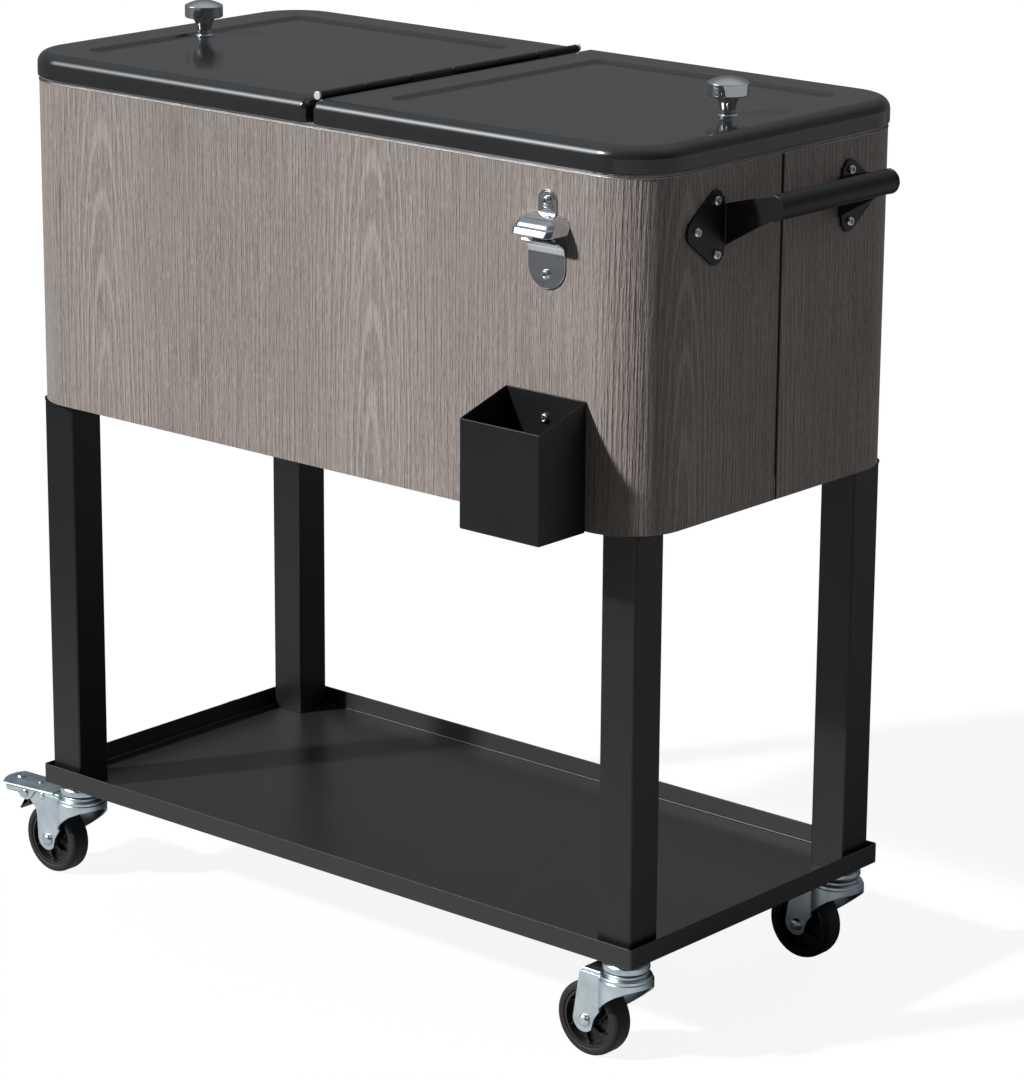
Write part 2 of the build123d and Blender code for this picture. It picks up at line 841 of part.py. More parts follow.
with BuildPart() as leg_plugs:
    with BuildSketch(ground.offset(tray_floor)):
        with Locations(*leg_places.values()):
            Rectangle(plug_side, plug_side)
            Circle(stem_radius + hole_clearance, mode=Mode.SUBTRACT)
    extrude(amount=plug_height)
save(leg_plugs, "leg_plugs")

# Tray shelf with upturned walls
with BuildPart() as tray:
    with BuildSketch(ground.offset(caster_height)):
        RectangleRounded(tray_length, tray_depth, tray_corner)
    extrude(amount=tray_wall_height)
    with BuildSketch(ground.offset(tray_floor)):
        Rectangle(tray_length - 2 * tray_sheet, tray_depth - 2 * tray_sheet)
    extrude(amount=tray_wall_height, mode=Mode.SUBTRACT)
    round_holes(
        ground.offset(tray_floor), leg_places.values(), stem_radius + hole_clearance, 2 * tray_sheet
    )
save(tray, "tray")

# Drain: a pipe through the liner, foam and pan, with a screw cap under it
with BuildPart() as drain_spout:
    disc(ground.offset(drain_bottom), drain_place, drain_pipe_radius, drain_seat - drain_bottom)
    disc(ground.offset(drain_seat), drain_place, drain_flange_radius, drain_flange)
    round_holes(ground.offset(liner_floor), drain_place, drain_bore_radius, body_height)
save(drain_spout, "drain_spout")

with BuildPart() as drain_cap:
    disc(ground.offset(drain_bottom - drain_cap_top), drain_place, drain_cap_radius, drain_cap_height)
    with BuildSketch(ground.offset(drain_bottom - nest_clearance)):
        with Locations(*drain_place):
            Circle(drain_pipe_radius + drain_cap_fit)
    extrude(amount=drain_cap_height, mode=Mode.SUBTRACT)
save(drain_cap, "drain_cap")

# Casters, all trailing towards the left end
hub_radius = wheel_radius - tyre_thickness
lever_bottom = fork_top + lever_lift
fork_back = -wheel_trail - fork_tip_radius + fork_back_lean


def fork_side(braked):
    """Draw one side plate of the fork, looking along Y, from the swivel axis."""
    foot_half = fork_tip_radius * cos(radians(fork_foot_tilt))
    foot_height = wheel_radius + fork_tip_radius * sin(radians(fork_foot_tilt))
    back_foot = (-wheel_trail - foot_half, foot_height)
    front_foot = (-wheel_trail + foot_half, foot_height)
    nose = (fork_nose, fork_top - fork_skirt)
    with BuildLine() as outline:
        Line((fork_back, fork_top), back_foot)
        ThreePointArc(back_foot, (-wheel_trail, wheel_radius - fork_tip_radius), front_foot)
        ThreePointArc(front_foot, (-fork_belly_out, fork_belly_height), nose)
        Polyline(nose, (fork_nose, fork_top), (fork_back, fork_top))
    make_face(outline.edges())
    if braked:
        with Locations((-lever_pivot_out, lever_pivot_height)):
            Circle(lever_ear_radius)
        with Locations((-(lever_pivot_out + wheel_trail) / 2, lever_pivot_height)):
            Rectangle(lever_pivot_out - wheel_trail, 2 * lever_ear_radius)


for place, (x, y) in leg_places.items():
    braked = "left" in place
    centre_x, centre_y = body_x + x, body_y + y
    swivel = Axis((centre_x, centre_y, 0), (0, 0, 1))
    across = Plane(origin=(centre_x, centre_y, 0), x_dir=(1, 0, 0), z_dir=(0, -1, 0))
    wheel_plane = Plane(
        origin=(centre_x - wheel_trail, centre_y, wheel_radius), x_dir=(1, 0, 0), z_dir=(0, -1, 0)
    )
    wheel_axis = Axis(wheel_plane.origin, (0, 1, 0))

    with BuildPart() as race:
        race_bottom = crown_top + race_gap
        race_step = caster_height - race_cap
        kingpin_bottom = fork_top - fork_roof - race_gap / 2 - kingpin_head
        with BuildSketch(across):
            with BuildLine():
                Polyline(
                    (0, kingpin_bottom),
                    (kingpin_head_radius, kingpin_bottom),
                    (kingpin_head_radius, kingpin_bottom + kingpin_head),
                    (kingpin_radius, kingpin_bottom + kingpin_head),
                    (kingpin_radius, race_bottom),
                    (race_radius - race_gap, race_bottom),
                    (race_radius, race_bottom + race_gap),
                    (race_radius, race_step - race_gap),
                    (race_cap_radius, race_step),
                    (race_cap_radius, caster_height),
                    (stem_radius, caster_height),
                    (stem_radius, caster_height + stem_length),
                    (0, caster_height + stem_length),
                    close=True,
                )
            make_face()
        revolve(axis=swivel)
    save(race, f"caster_{place}_race")

    with BuildPart() as fork:
        with BuildSketch(across):
            with BuildLine():
                Polyline(
                    (0, fork_top - fork_roof),
                    (fork_crown_radius, fork_top - fork_roof),
                    (fork_crown_radius, fork_top - fork_roof + fork_crown_edge),
                    (fork_crown_top_radius + race_gap, crown_top - race_gap),
                    (fork_crown_top_radius, crown_top),
                    (0, crown_top),
                    close=True,
                )
            make_face()
        revolve(axis=swivel)
        with BuildSketch(ground.offset(fork_top - fork_roof)):
            with Locations((x + (fork_back + fork_nose) / 2, y)):
                Rectangle(fork_nose - fork_back, 2 * fork_outer)
        extrude(amount=fork_roof)
        for inner in (across.offset(fork_inner), across.offset(-fork_outer)):
            with BuildSketch(inner):
                fork_side(braked)
            extrude(amount=fork_plate)
        if braked:
            pivot = [(-lever_pivot_out, lever_pivot_height)]
            rivet_end = lever_width / 2 + nest_clearance
            disc(across.offset(-rivet_end), pivot, lever_pivot_radius, 2 * rivet_end)
            disc(across.offset(rivet_end), pivot, lever_rivet_radius, lever_rivet_head)
            disc(across.offset(-rivet_end), pivot, lever_rivet_radius, -lever_rivet_head)
        with BuildSketch(across.offset(-fork_outer - overrun)):
            with Locations((-wheel_trail, wheel_radius)):
                Circle(axle_radius + tyre_fit)
        extrude(amount=2 * (fork_outer + overrun), mode=Mode.SUBTRACT)
        with BuildSketch(ground.offset(fork_top - fork_roof - overrun)):
            with Locations((x, y)):
                Circle(kingpin_radius + kingpin_fit)
        extrude(amount=crown_top, mode=Mode.SUBTRACT)
    save(fork, f"caster_{place}_fork")

    with BuildPart() as axle:
        disc(wheel_plane.offset(-fork_outer), [(0, 0)], axle_radius, 2 * fork_outer)
        disc(wheel_plane.offset(fork_outer), [(0, 0)], axle_head_radius, axle_head, screw_head_taper)
        with BuildSketch(wheel_plane.offset(-fork_outer)):
            RegularPolygon(axle_head_radius, nut_sides)
        extrude(amount=-axle_nut)
    save(axle, f"caster_{place}_axle")

    with BuildPart() as hub:
        half_width = wheel_width / 2
        with BuildSketch(wheel_plane.offset(-hub_web / 2)):
            Circle(hub_radius)
        extrude(amount=hub_web)
        with BuildSketch(wheel_plane.offset(-half_width + hub_rim_recess)):
            Circle(hub_radius)
            Circle(hub_radius - hub_rim, mode=Mode.SUBTRACT)
        extrude(amount=wheel_width - 2 * hub_rim_recess)
        with BuildSketch(wheel_plane.offset(-half_width - hub_rim_recess / 2)):
            Circle(hub_boss_radius)
        extrude(amount=wheel_width + hub_rim_recess)
        with BuildSketch(wheel_plane.offset(-half_width + hub_rib_recess)):
            with PolarLocations(hub_radius / 2, hub_rib_count):
                Rectangle(hub_radius - hub_rim, hub_rib_width)
        extrude(amount=wheel_width - 2 * hub_rib_recess)
        with BuildSketch(wheel_plane.offset(-wheel_width)):
            Circle(axle_radius + axle_fit)
        extrude(amount=2 * wheel_width, mode=Mode.SUBTRACT)
    save(hub, f"caster_{place}_hub")

    with BuildPart() as tyre:
        with BuildSketch(wheel_plane.offset(-half_width)):
            Circle(wheel_radius)
            Circle(hub_radius + tyre_fit, mode=Mode.SUBTRACT)
        extrude(amount=wheel_width)
        rims = tyre.edges().filter_by(GeomType.CIRCLE).group_by(SortBy.RADIUS)[-1]
        fillet(rims, tyre_shoulder)
    save(tyre, f"caster_{place}_tyre")

    if braked:
        with BuildPart() as lever:
            with BuildSketch(ground.offset(lever_bottom)) as pedal:
                with Locations((x - (lever_reach + lever_root) / 2, y)):
                    Rectangle(lever_reach - lever_root, lever_width)
                fillet(pedal.vertices().group_by(Axis.X)[0], lever_corner)
            extrude(amount=lever_sheet)
            lever_top = lever_bottom + lever_sheet
            flange_bottom = lever_bottom - lever_flange - lever_sheet
            for face in (across.offset(lever_width / 2), across.offset(lever_sheet - lever_width / 2)):
                with BuildSketch(face):
                    with BuildLine():
                        Polyline(
                            (-lever_flange_start, lever_top),
                            (-lever_flange_end, lever_top),
                            (-lever_flange_end + lever_flange / 2, lever_bottom - lever_flange / 2),
                            (-lever_pivot_out - lever_flange / 2, flange_bottom),
                            (-lever_flange_start, flange_bottom),
                            close=True,
                        )
                    make_face()
                    with Locations((-lever_pivot_out, lever_pivot_height)):
                        Circle(lever_pivot_radius + pin_fit, mode=Mode.SUBTRACT)
                extrude(amount=-lever_sheet)
        save(lever, f"brake_{place}_lever")

        with BuildPart() as tongue:
            with BuildSketch(across.offset(-tongue_width / 2)):
                with BuildLine():
                    Polyline(
                        (-tongue_start, lever_bottom),
                        (-tongue_start - tongue_thickness, lever_bottom),
                        (-tongue_knee_out - tongue_thickness, tongue_knee_height + tongue_thickness),
                        (-tongue_tip_out, tongue_tip_height + tongue_thickness),
                        (-tongue_tip_out, tongue_tip_height),
                        (-tongue_knee_out, tongue_knee_height),
                        close=True,
                    )
                make_face()
            extrude(amount=tongue_width)
        save(tongue, f"brake_{place}_tongue")
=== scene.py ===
"""Looks of a rolling patio cooler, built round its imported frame.

Shapes are worked out in millimetres from the cabinet's centre line, with the ground at zero, and
go into the meshes in metres. Each is a grid of points: an outline set at the heights of a
profile, a profile turned about an axis, or a sheet that follows a path.
"""
import json

import bmesh
import bpy
import numpy as np
from mathutils import Matrix, Vector

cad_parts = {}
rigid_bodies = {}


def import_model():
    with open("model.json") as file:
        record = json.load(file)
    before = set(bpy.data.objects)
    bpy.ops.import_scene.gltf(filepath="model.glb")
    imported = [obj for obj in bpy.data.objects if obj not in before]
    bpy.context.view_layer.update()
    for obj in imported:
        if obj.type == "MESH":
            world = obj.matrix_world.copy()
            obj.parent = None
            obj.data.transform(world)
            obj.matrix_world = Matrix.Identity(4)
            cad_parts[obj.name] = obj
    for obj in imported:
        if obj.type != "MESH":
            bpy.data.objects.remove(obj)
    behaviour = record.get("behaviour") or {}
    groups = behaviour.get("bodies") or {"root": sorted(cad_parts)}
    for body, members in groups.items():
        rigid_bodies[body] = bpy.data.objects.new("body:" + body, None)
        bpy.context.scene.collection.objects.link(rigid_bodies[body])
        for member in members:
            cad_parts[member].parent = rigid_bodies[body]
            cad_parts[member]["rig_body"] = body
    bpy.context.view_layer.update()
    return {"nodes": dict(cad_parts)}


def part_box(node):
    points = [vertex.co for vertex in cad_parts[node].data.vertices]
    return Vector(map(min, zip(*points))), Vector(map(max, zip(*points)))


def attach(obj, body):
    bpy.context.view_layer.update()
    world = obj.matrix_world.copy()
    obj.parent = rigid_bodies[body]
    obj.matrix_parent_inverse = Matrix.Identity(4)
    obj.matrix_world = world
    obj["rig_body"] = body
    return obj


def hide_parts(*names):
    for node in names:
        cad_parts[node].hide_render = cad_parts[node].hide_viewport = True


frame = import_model()
nodes = frame["nodes"]
rim_corners = [np.array(corner, float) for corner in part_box("top_rim")]
CENTRE = np.array([*(rim_corners[0] + rim_corners[1])[:2] / 2, 0.0])
# Millimetres: the cabinet's front wall and right end wall, and how far out each leg stands
FRONT_WALL, END_WALL = -201, 402
LEG_PLACE = np.array([367.5, 165.5])


# Shapes


def span(node):
    """A CAD node's lowest and highest corner, in millimetres from the cabinet's centre line."""
    return [(np.array(corner, float) - CENTRE) * 1000 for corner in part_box(node)]


def unit(vectors):
    """Vectors divided by their lengths."""
    return vectors / np.maximum(np.linalg.norm(vectors, axis=-1, keepdims=True), 1e-12)


def smooth(values, low, high):
    """A share that rises from 0 at low to 1 at high: three squares less two cubes."""
    share = np.clip((values - low) / (high - low), 0, 1)
    return share * share * (3 - 2 * share)


def rounded(corners, radii, steps=4):
    """A polygon whose corners are arcs: about each arc's centre, its spoke turns from the first
    side to the next in equal parts. A radius of 0 keeps a corner, as at a line's ends."""
    corners = np.asarray(corners, float)
    radii = np.broadcast_to(np.asarray(radii, float), len(corners))[:, None]
    back = unit(np.roll(corners, 1, 0) - corners)
    on = unit(np.roll(corners, -1, 0) - corners)
    half = np.arccos(np.clip((back * on).sum(-1, keepdims=True), -0.99999, 0.99999)) / 2
    centres = corners + unit(back + on) * radii / np.sin(half)
    first = corners + back * radii / np.tan(half) - centres
    last = corners + on * radii / np.tan(half) - centres
    swing = (np.pi - 2 * half)[:, None]
    share = np.linspace(0, 1, steps + 1)[:, None]
    spokes = np.sin((1 - share) * swing) * first[:, None] + np.sin(share * swing) * last[:, None]
    return (centres[:, None] + spokes / np.sin(swing)).reshape(-1, 2)


def spaced(path, step):
    """Points at equal steps of length along a path, with its own points kept."""
    lengths = np.concatenate([[0], np.cumsum(np.linalg.norm(np.diff(path, axis=0), axis=1))])
    at = np.unique(np.concatenate([lengths, np.arange(0, lengths[-1], step)]).round(6))
    return np.stack([np.interp(at, lengths, path[:, axis]) for axis in (0, 1)], -1), at


def box_outline(half_x, half_y, corners, centre=(0, 0), steps=8):
    """A rounded rectangle in plan as a function of inset: each corner's centre, plus its radius
    along an angle that runs through a quarter turn. Corners go front right, back right, back
    left, front left."""
    signs = np.array([(1, -1), (1, 1), (-1, 1), (-1, -1)])
    angles = np.pi / 2 * (np.arange(4)[:, None] - 1 + np.linspace(0, 1, steps + 1))
    spokes = np.stack([np.cos(angles), np.sin(angles)], -1)

    def outline(inset):
        radii = np.maximum(np.broadcast_to(corners, 4) - inset, 0)[:, None]
        middles = signs * (np.array([half_x, half_y]) - inset - radii)
        return (middles[:, None] + radii[:, None] * spokes).reshape(-1, 2) + centre

    return outline


def free_outline(corners, radii, steps=5):
    """A polygon with rounded corners as a function of inset, drawn in along its normals."""
    base = rounded(corners, radii, steps)
    tangents = unit(np.roll(base, -1, 0) - np.roll(base, 1, 0))
    inward = np.stack([-tangents[:, 1], tangents[:, 0]], -1)
    return lambda inset: base + inset * inward


def ordered(grid, order):
    """A grid whose three coordinates are for the axes that order names, set in x, y, z order."""
    return grid[..., [order.index(axis) for axis in "xyz"]]


def raised(outline, profile, order="xyz"):
    """An outline set at each height of a profile, and drawn in by the profile's inset there."""
    rows = np.stack([outline(inset) for inset, _ in profile])
    heights = np.broadcast_to(np.asarray(profile)[:, 1][:, None, None], (*rows.shape[:2], 1))
    return ordered(np.concatenate([rows, heights], -1), order)


def plate(outline, low, high, edge, order="xyz"):
    """A plate between two heights with quarter-round edges."""
    corners = [(2 * edge, low), (0, low), (0, high), (2 * edge, high)]
    return raised(outline, rounded(corners, [0, edge, edge, 0], 3), order)


def block(low, high, edge):
    """A rounded block between two corner points."""
    low, high = np.asarray(low, float), np.asarray(high, float)
    half, middle = (high - low) / 2, (high + low) / 2
    return plate(box_outline(half[0], half[1], edge, middle[:2], 3), low[2], high[2], edge)


def turned(profile, centre, axis="z", sides=48, sixfold=None):
    """A profile of radius and rise turned about an axis: the radius times the cosine and sine of
    the turn, and the rise along the axis. Where sixfold is 1 the circle becomes a hexagon."""
    turn = np.linspace(0, 2 * np.pi, sides, endpoint=False)
    radius, rise = np.asarray(profile, float).T[:, :, None]
    if sixfold is not None:
        hexagon = np.cos(np.pi / 6) / np.cos(turn % (np.pi / 3) - np.pi / 6)
        radius = radius * (1 + np.asarray(sixfold, float)[:, None] * (hexagon - 1))
    parts = np.broadcast_arrays(radius * np.cos(turn), radius * np.sin(turn), rise)
    order = {"z": "xyz", "x": "yzx", "y": "xzy"}[axis]
    return ordered(np.stack(parts, -1), order) + np.asarray(centre, float)


def folded(path, low, high, thickness, edge, order="xyz"):
    """A sheet that follows a path: at each point of it stands a rounded rectangle, as deep as
    the sheet is thick, on the path's left, and as wide as from low to high there."""
    along = unit(np.gradient(path, axis=0))
    left = np.stack([-along[:, 1], along[:, 0]], -1)
    low, high = (np.broadcast_to(np.asarray(side, float), len(path)) for side in (low, high))
    halves = np.stack([np.full(len(path), thickness / 2), (high - low) / 2], -1)
    radii = np.minimum(edge, halves.min(-1))[:, None, None, None]
    signs = np.array([(1, -1), (1, 1), (-1, 1), (-1, -1)])[:, None]
    angles = np.pi / 2 * (np.arange(4)[:, None] - 1 + np.linspace(0, 1, 4))
    spokes = np.stack([np.cos(angles), np.sin(angles)], -1)
    section = signs * (halves[:, None, None] - radii) + radii * spokes
    section = section.reshape(len(path), -1, 2)
    flat = path[:, None] + left[:, None] * (thickness / 2 + section[..., :1])
    height = ((low + high) / 2)[:, None] + section[..., 1]
    return ordered(np.concatenate([flat, height[..., None]], -1), order)


class Shape:
    """The closed shells of one piece, gathered as points and faces."""

    def __init__(self):
        self.points, self.faces, self.charts, self.count = [], [], [], 0

    def add(self, grid, caps=True, chart=None):
        """Join a grid's points by quads, each row to the next and round on itself. A cap closes
        the first and the last row. The faces are turned over where the shell's volume, the sum
        of its points times its faces' areas, comes out negative."""
        rows, columns = grid.shape[:2]
        index = np.arange(rows * columns).reshape(rows, columns)
        ahead = np.roll(index, -1, 1)
        quads = np.stack([index[:-1], ahead[:-1], ahead[1:], index[1:]], -1).reshape(-1, 4)
        faces = [quads, index[:1, ::-1], index[-1:]] if caps else [quads]
        points = grid.reshape(-1, 3)
        volume = sum(
            (points[f[:, :1]] * np.cross(points[f[:, 1:-1]], points[f[:, 2:]])).sum()
            for f in faces
        )
        turn = 1 if volume > 0 else -1
        self.faces += [face[::turn] for kind in faces for face in (kind + self.count).tolist()]
        self.points.append(points)
        if chart is not None:
            self.charts.append(chart.reshape(-1, 3))
        self.count += len(points)
        return self

    def make(self, name, body, finish, *stands_for, crease=35):
        """Put the shells into one object that rides on a body and stands for CAD nodes."""
        mesh = bpy.data.meshes.new(name)
        points = CENTRE + np.concatenate(self.points) / 1000
        mesh.from_pydata(points.tolist(), [], self.faces)
        if self.charts:
            wrap = mesh.attributes.new("wrap", "FLOAT_VECTOR", "POINT")
            wrap.data.foreach_set("vector", np.concatenate(self.charts).ravel() / 1000)
        else:
            merge(mesh)
        return settle(mesh, name, body, finish, stands_for, crease)


def merge(mesh):
    """Merge a mesh's doubled points."""
    work = bmesh.new()
    work.from_mesh(mesh)
    bmesh.ops.remove_doubles(work, verts=work.verts, dist=2e-6)
    work.to_mesh(mesh)
    work.free()


def settle(mesh, name, body, finish, stands_for, crease):
    """Shade a mesh smooth between its creases and place it in the frame as a piece."""
    mesh.shade_smooth()
    mesh.set_sharp_from_angle(angle=np.radians(crease))
    piece = bpy.data.objects.new(name, mesh)
    bpy.context.scene.collection.objects.link(piece)
    mesh.materials.append(finish.material)
    level = piece.modifiers.new("level", "WEIGHTED_NORMAL")
    level.keep_sharp = True
    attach(piece, body)
    if stands_for:
        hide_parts(*stands_for)
    return piece


def welded(node, finish):
    """A copy of a CAD node with its loose triangles merged, so that its curves shade smooth."""
    mesh = nodes[node].data.copy()
    mesh.materials.clear()
    merge(mesh)
    return settle(mesh, f"{node}_skin", nodes[node]["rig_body"], finish, (node,), 30)


# Finishes


class Field:
    """A number that varies over a surface. Arithmetic on it adds Math nodes to its finish."""

    def __init__(self, finish, socket):
        self.finish, self.socket = finish, socket

    def __add__(self, other):
        return self.finish.math("ADD", self, other)

    def __sub__(self, other):
        return self.finish.math("SUBTRACT", self, other)

    def __rsub__(self, other):
        return self.finish.math("SUBTRACT", other, self)

    def __mul__(self, other):
        return self.finish.math("MULTIPLY", self, other)

    def __truediv__(self, other):
        return self.finish.math("DIVIDE", self, other)

    def __pow__(self, other):
        return self.finish.math("POWER", self, other)

    __radd__, __rmul__ = __add__, __mul__


class Finish:
    """A surface finish: one Principled shader and the nodes that feed it."""

    def __init__(self, name, slot, **constants):
        self.slot = slot
        self.material = bpy.data.materials.new(name)
        self.material.use_nodes = True
        self.tree = self.material.node_tree
        self.tree.nodes.clear()
        self.shader = self.node("ShaderNodeBsdfPrincipled", {}, constants)
        self.node("ShaderNodeOutputMaterial", {}, {"Surface": self.shader.outputs[0]})
        self.place = self.node("ShaderNodeTexCoord", {}, {}).outputs["Object"]

    def node(self, kind, settings, inputs):
        """Add a node: its type, its settings, then the values or links of its sockets."""
        made = self.tree.nodes.new(kind)
        for key, value in settings.items():
            setattr(made, key, value)
        for key, value in inputs.items():
            self.feed(made.inputs[key], value)
        return made

    def feed(self, socket, value):
        if isinstance(value, Field):
            value = value.socket
        if isinstance(value, bpy.types.NodeSocket):
            self.tree.links.new(value, socket)
        elif isinstance(value, tuple) and len(value) == 3 and socket.type == "RGBA":
            socket.default_value = (*value, 1.0)
        else:
            socket.default_value = value

    def give(self, **inputs):
        """Feed the shader's sockets, whose names are written with _ for a space."""
        for key, value in inputs.items():
            self.feed(self.shader.inputs[key.replace("_", " ")], value)
        return self

    def stretched(self, stretch, at=None):
        """A place multiplied along each axis."""
        inputs = {0: at or self.place, 1: stretch}
        return self.node("ShaderNodeVectorMath", {"operation": "MULTIPLY"}, inputs).outputs[0]

    def math(self, operation, *terms):
        """Any other function of numbers, as one Math node."""
        made = self.node("ShaderNodeMath", {"operation": operation}, dict(enumerate(terms)))
        return Field(self, made.outputs[0])

    def noise(self, stretch, detail=2.0, at=None, rough=0.5):
        """Noise whose cells per metre along each axis are given by stretch."""
        inputs = {
            "Vector": self.stretched(stretch, at),
            "Scale": 1.0,
            "Detail": detail,
            "Roughness": rough,
        }
        return Field(self, self.node("ShaderNodeTexNoise", {}, inputs).outputs["Fac"])

    def step(self, field, low, high):
        """A share that rises smoothly from 0 where the field is low to 1 where it is high."""
        inputs = {"Value": field, "From Min": low, "From Max": high}
        made = self.node("ShaderNodeMapRange", {"interpolation_type": "SMOOTHSTEP"}, inputs)
        return Field(self, made.outputs["Result"])

    def mix(self, share, first, second):
        """A colour between two, by a share."""
        settings = {"data_type": "RGBA"}
        return self.node("ShaderNodeMix", settings, {0: share, 6: first, 7: second}).outputs[2]

    def bump(self, height, depth):
        """Relief of a given depth in metres, from a height between 0 and 1."""
        inputs = {"Height": height, "Distance": depth, "Strength": 1.0}
        return self.node("ShaderNodeBump", {}, inputs).outputs[0]


def even(scale):
    """The same number of cells per metre along all three axes."""
    return (scale, scale, scale)


def painted(name, slot, low, high, rough, peel, depth, **constants):
    """Baked paint or moulded plastic: two shades in soft clouds, and an orange-peel skin."""
    finish = Finish(name, slot, **constants)
    cloud = finish.noise(even(9), 3)
    skin = finish.noise(even(peel), 1)
    dust = finish.step(finish.noise(even(peel * 2.3), 0), 0.66, 0.74)
    return finish.give(
        Base_Color=finish.mix(cloud, low, high),
        Roughness=rough + 0.3 * rough * (cloud - 0.5) + 0.04 * dust,
        Normal=finish.bump(skin + 0.2 * dust, depth),
    )


def plated(name, slot, low, high, rough, spread, grain, depth):
    """Bare or plated metal: cloudy colour, fine drawn scratches and a roughness that wanders."""
    finish = Finish(name, slot, Metallic=1.0)
    cloud = finish.noise(even(45), 4, rough=0.6)
    scratch = finish.noise(grain, 2)
    return finish.give(
        Base_Color=finish.mix(finish.step(cloud, 0.3, 0.7), low, high),
        Roughness=rough + spread * (cloud - 0.5) + spread * 0.6 * (scratch - 0.5),
        Normal=finish.bump(scratch, depth),
    )


def wood_grain():
    """Printed and embossed wood on the wrap. Rings of the tree are circles about a pith that
    leans behind the sheet. Their distance from it is the root of the squares of the distance
    across and of a depth that grows with height, and they stand closer as it grows. Where the
    pith is nearest they make arches, and between them straight lines. Ridges, pores and short
    dashes run along the grain, and a few smoky marks lie on it."""
    finish = Finish("wood_grain", "wood_grain_steel", **{"Specular IOR Level": 0.22})
    wrap = finish.node("ShaderNodeAttribute", {"attribute_name": "wrap"}, {}).outputs["Vector"]
    parts = finish.node("ShaderNodeSeparateXYZ", {}, {0: wrap})
    along, up, seam = (Field(finish, parts.outputs[axis]) for axis in range(3))
    drift = finish.noise((7.0, 2.2, 0), 2, wrap) - 0.5
    ripple = finish.noise((46.0, 13.0, 0), 2, wrap) - 0.5
    board = along + 0.012 * drift + 0.002 * ripple
    across = finish.math("PINGPONG", board + 1.0, GRAIN_PITCH / 2)
    depth = 0.004 + 0.10 * (up - BASE_HEIGHT) + 0.010 * drift
    distance = (across * across + depth * depth) ** 0.5
    count = distance * (95 + 900 * distance)
    wave = 0.5 + 0.5 * finish.math("SINE", 2 * np.pi * count + 1.5 * ripple)
    line = finish.step(wave, 0.6, 1.0)
    near = 1 - finish.step(distance, 0.03, 0.09)
    fine = finish.step(finish.noise((900.0, 110.0, 0), 1, wrap), 0.38, 0.62)
    streak = finish.step(finish.noise((370.0, 8.0, 0), 2, wrap), 0.36, 0.64)
    ridge = finish.noise((190.0, 4.0, 0), 1, wrap)
    pores = finish.step(finish.noise((900.0, 60.0, 0), 1, wrap), 0.58, 0.70)
    patch = finish.step(finish.noise((6.0, 3.0, 0), 2, wrap), 0.42, 0.66)
    colour = finish.mix(
        0.50 * fine + 0.50 * streak, (0.305, 0.260, 0.242), (0.450, 0.392, 0.368)
    )
    colour = finish.mix(line * (0.14 + 0.50 * near), colour, (0.540, 0.480, 0.450))
    colour = finish.mix(0.45 * patch, colour, (0.360, 0.320, 0.285))
    for place, height, wide, tall, share in SMOKE_MARKS:
        gap = ((along - place) / wide) ** 2 + ((up - height + 0.02 * ripple) / tall) ** 2
        mark = 1 - finish.step(gap, 0.0, 1.0)
        colour = finish.mix(share * mark, colour, (0.200, 0.195, 0.180))
    colour = finish.mix(0.35 * pores, colour, (0.150, 0.125, 0.112))
    # Painted shade: within about 2 mm of the seam and on the turned-in ends the wood is darkened to near
    # black, standing in for the shade inside the seam's groove.
    painted_seam_shade = 1 - finish.step(seam, 0.0002, 0.0022)
    colour = finish.mix(0.88 * painted_seam_shade, colour, (0.020, 0.018, 0.017))
    relief = 0.20 * ridge + 0.42 * streak + 0.20 * fine + 0.18 * line
    return finish.give(
        Base_Color=colour,
        Roughness=0.50 + 0.10 * pores - 0.06 * line,
        Normal=finish.bump(relief, 0.0014),
    )


def foam_core():
    """Cut foam: pale cream with open cells."""
    finish = Finish("foam_core", "foam", Roughness=0.9)
    cells = Field(
        finish,
        finish.node("ShaderNodeTexVoronoi", {}, {"Vector": finish.place, "Scale": 650.0}).outputs[0],
    )
    colour = finish.mix(cells, (0.80, 0.74, 0.56), (0.62, 0.55, 0.38))
    return finish.give(Base_Color=colour, Normal=finish.bump(cells, 0.0004))


def tyre_rubber():
    """Moulded rubber: charcoal with a dusty bloom and a fine grain."""
    finish = Finish("tyre_rubber", "tyre_rubber", **{"Specular IOR Level": 0.35})
    bloom = finish.noise(even(70), 4, rough=0.65)
    grain = finish.noise(even(2600), 1)
    return finish.give(
        Base_Color=finish.mix(bloom, (0.010, 0.010, 0.011), (0.026, 0.026, 0.028)),
        Roughness=0.50 + 0.20 * bloom,
        Normal=finish.bump(grain + 0.5 * bloom, 0.00006),
    )


# Metres: how far apart the grain's arches are, and how high the cabinet's lower edge is
GRAIN_PITCH, BASE_HEIGHT = 0.36, 0.521
# Smoky marks on the wood: place along the wrap, height, half width, half height, strength
SMOKE_MARKS = (
    (-0.177, 0.823, 0.014, 0.030, 0.30),
    (-0.083, 0.816, 0.010, 0.026, 0.25),
    (0.102, 0.797, 0.012, 0.034, 0.28),
    (-0.155, 0.605, 0.007, 0.030, 0.45),
    (-0.341, 0.732, 0.004, 0.024, 0.55),
    (-0.286, 0.639, 0.004, 0.022, 0.50),
    (0.276, 0.640, 0.006, 0.040, 0.30),
)
WOOD = wood_grain()
LID = painted(
    "lid_paint", "lid_steel", (0.019, 0.019, 0.019), (0.025, 0.025, 0.025), 0.12, 1500, 0.000004,
    **{"Specular IOR Level": 0.90},
)
POWDER = painted(
    "black_powder_coat", "black_steel", (0.007, 0.007, 0.008), (0.012, 0.012, 0.013), 0.38, 1100,
    0.00003, **{"Specular IOR Level": 0.45},
)
TRAY = painted(
    "tray_paint", "tray_steel", (0.019, 0.019, 0.019), (0.028, 0.027, 0.027), 0.30, 1300, 0.00002,
    **{"Specular IOR Level": 0.45},
)
LINER = painted(
    "liner_plastic", "liner_plastic", (0.25, 0.25, 0.26), (0.30, 0.30, 0.31), 0.42, 700, 0.00003
)
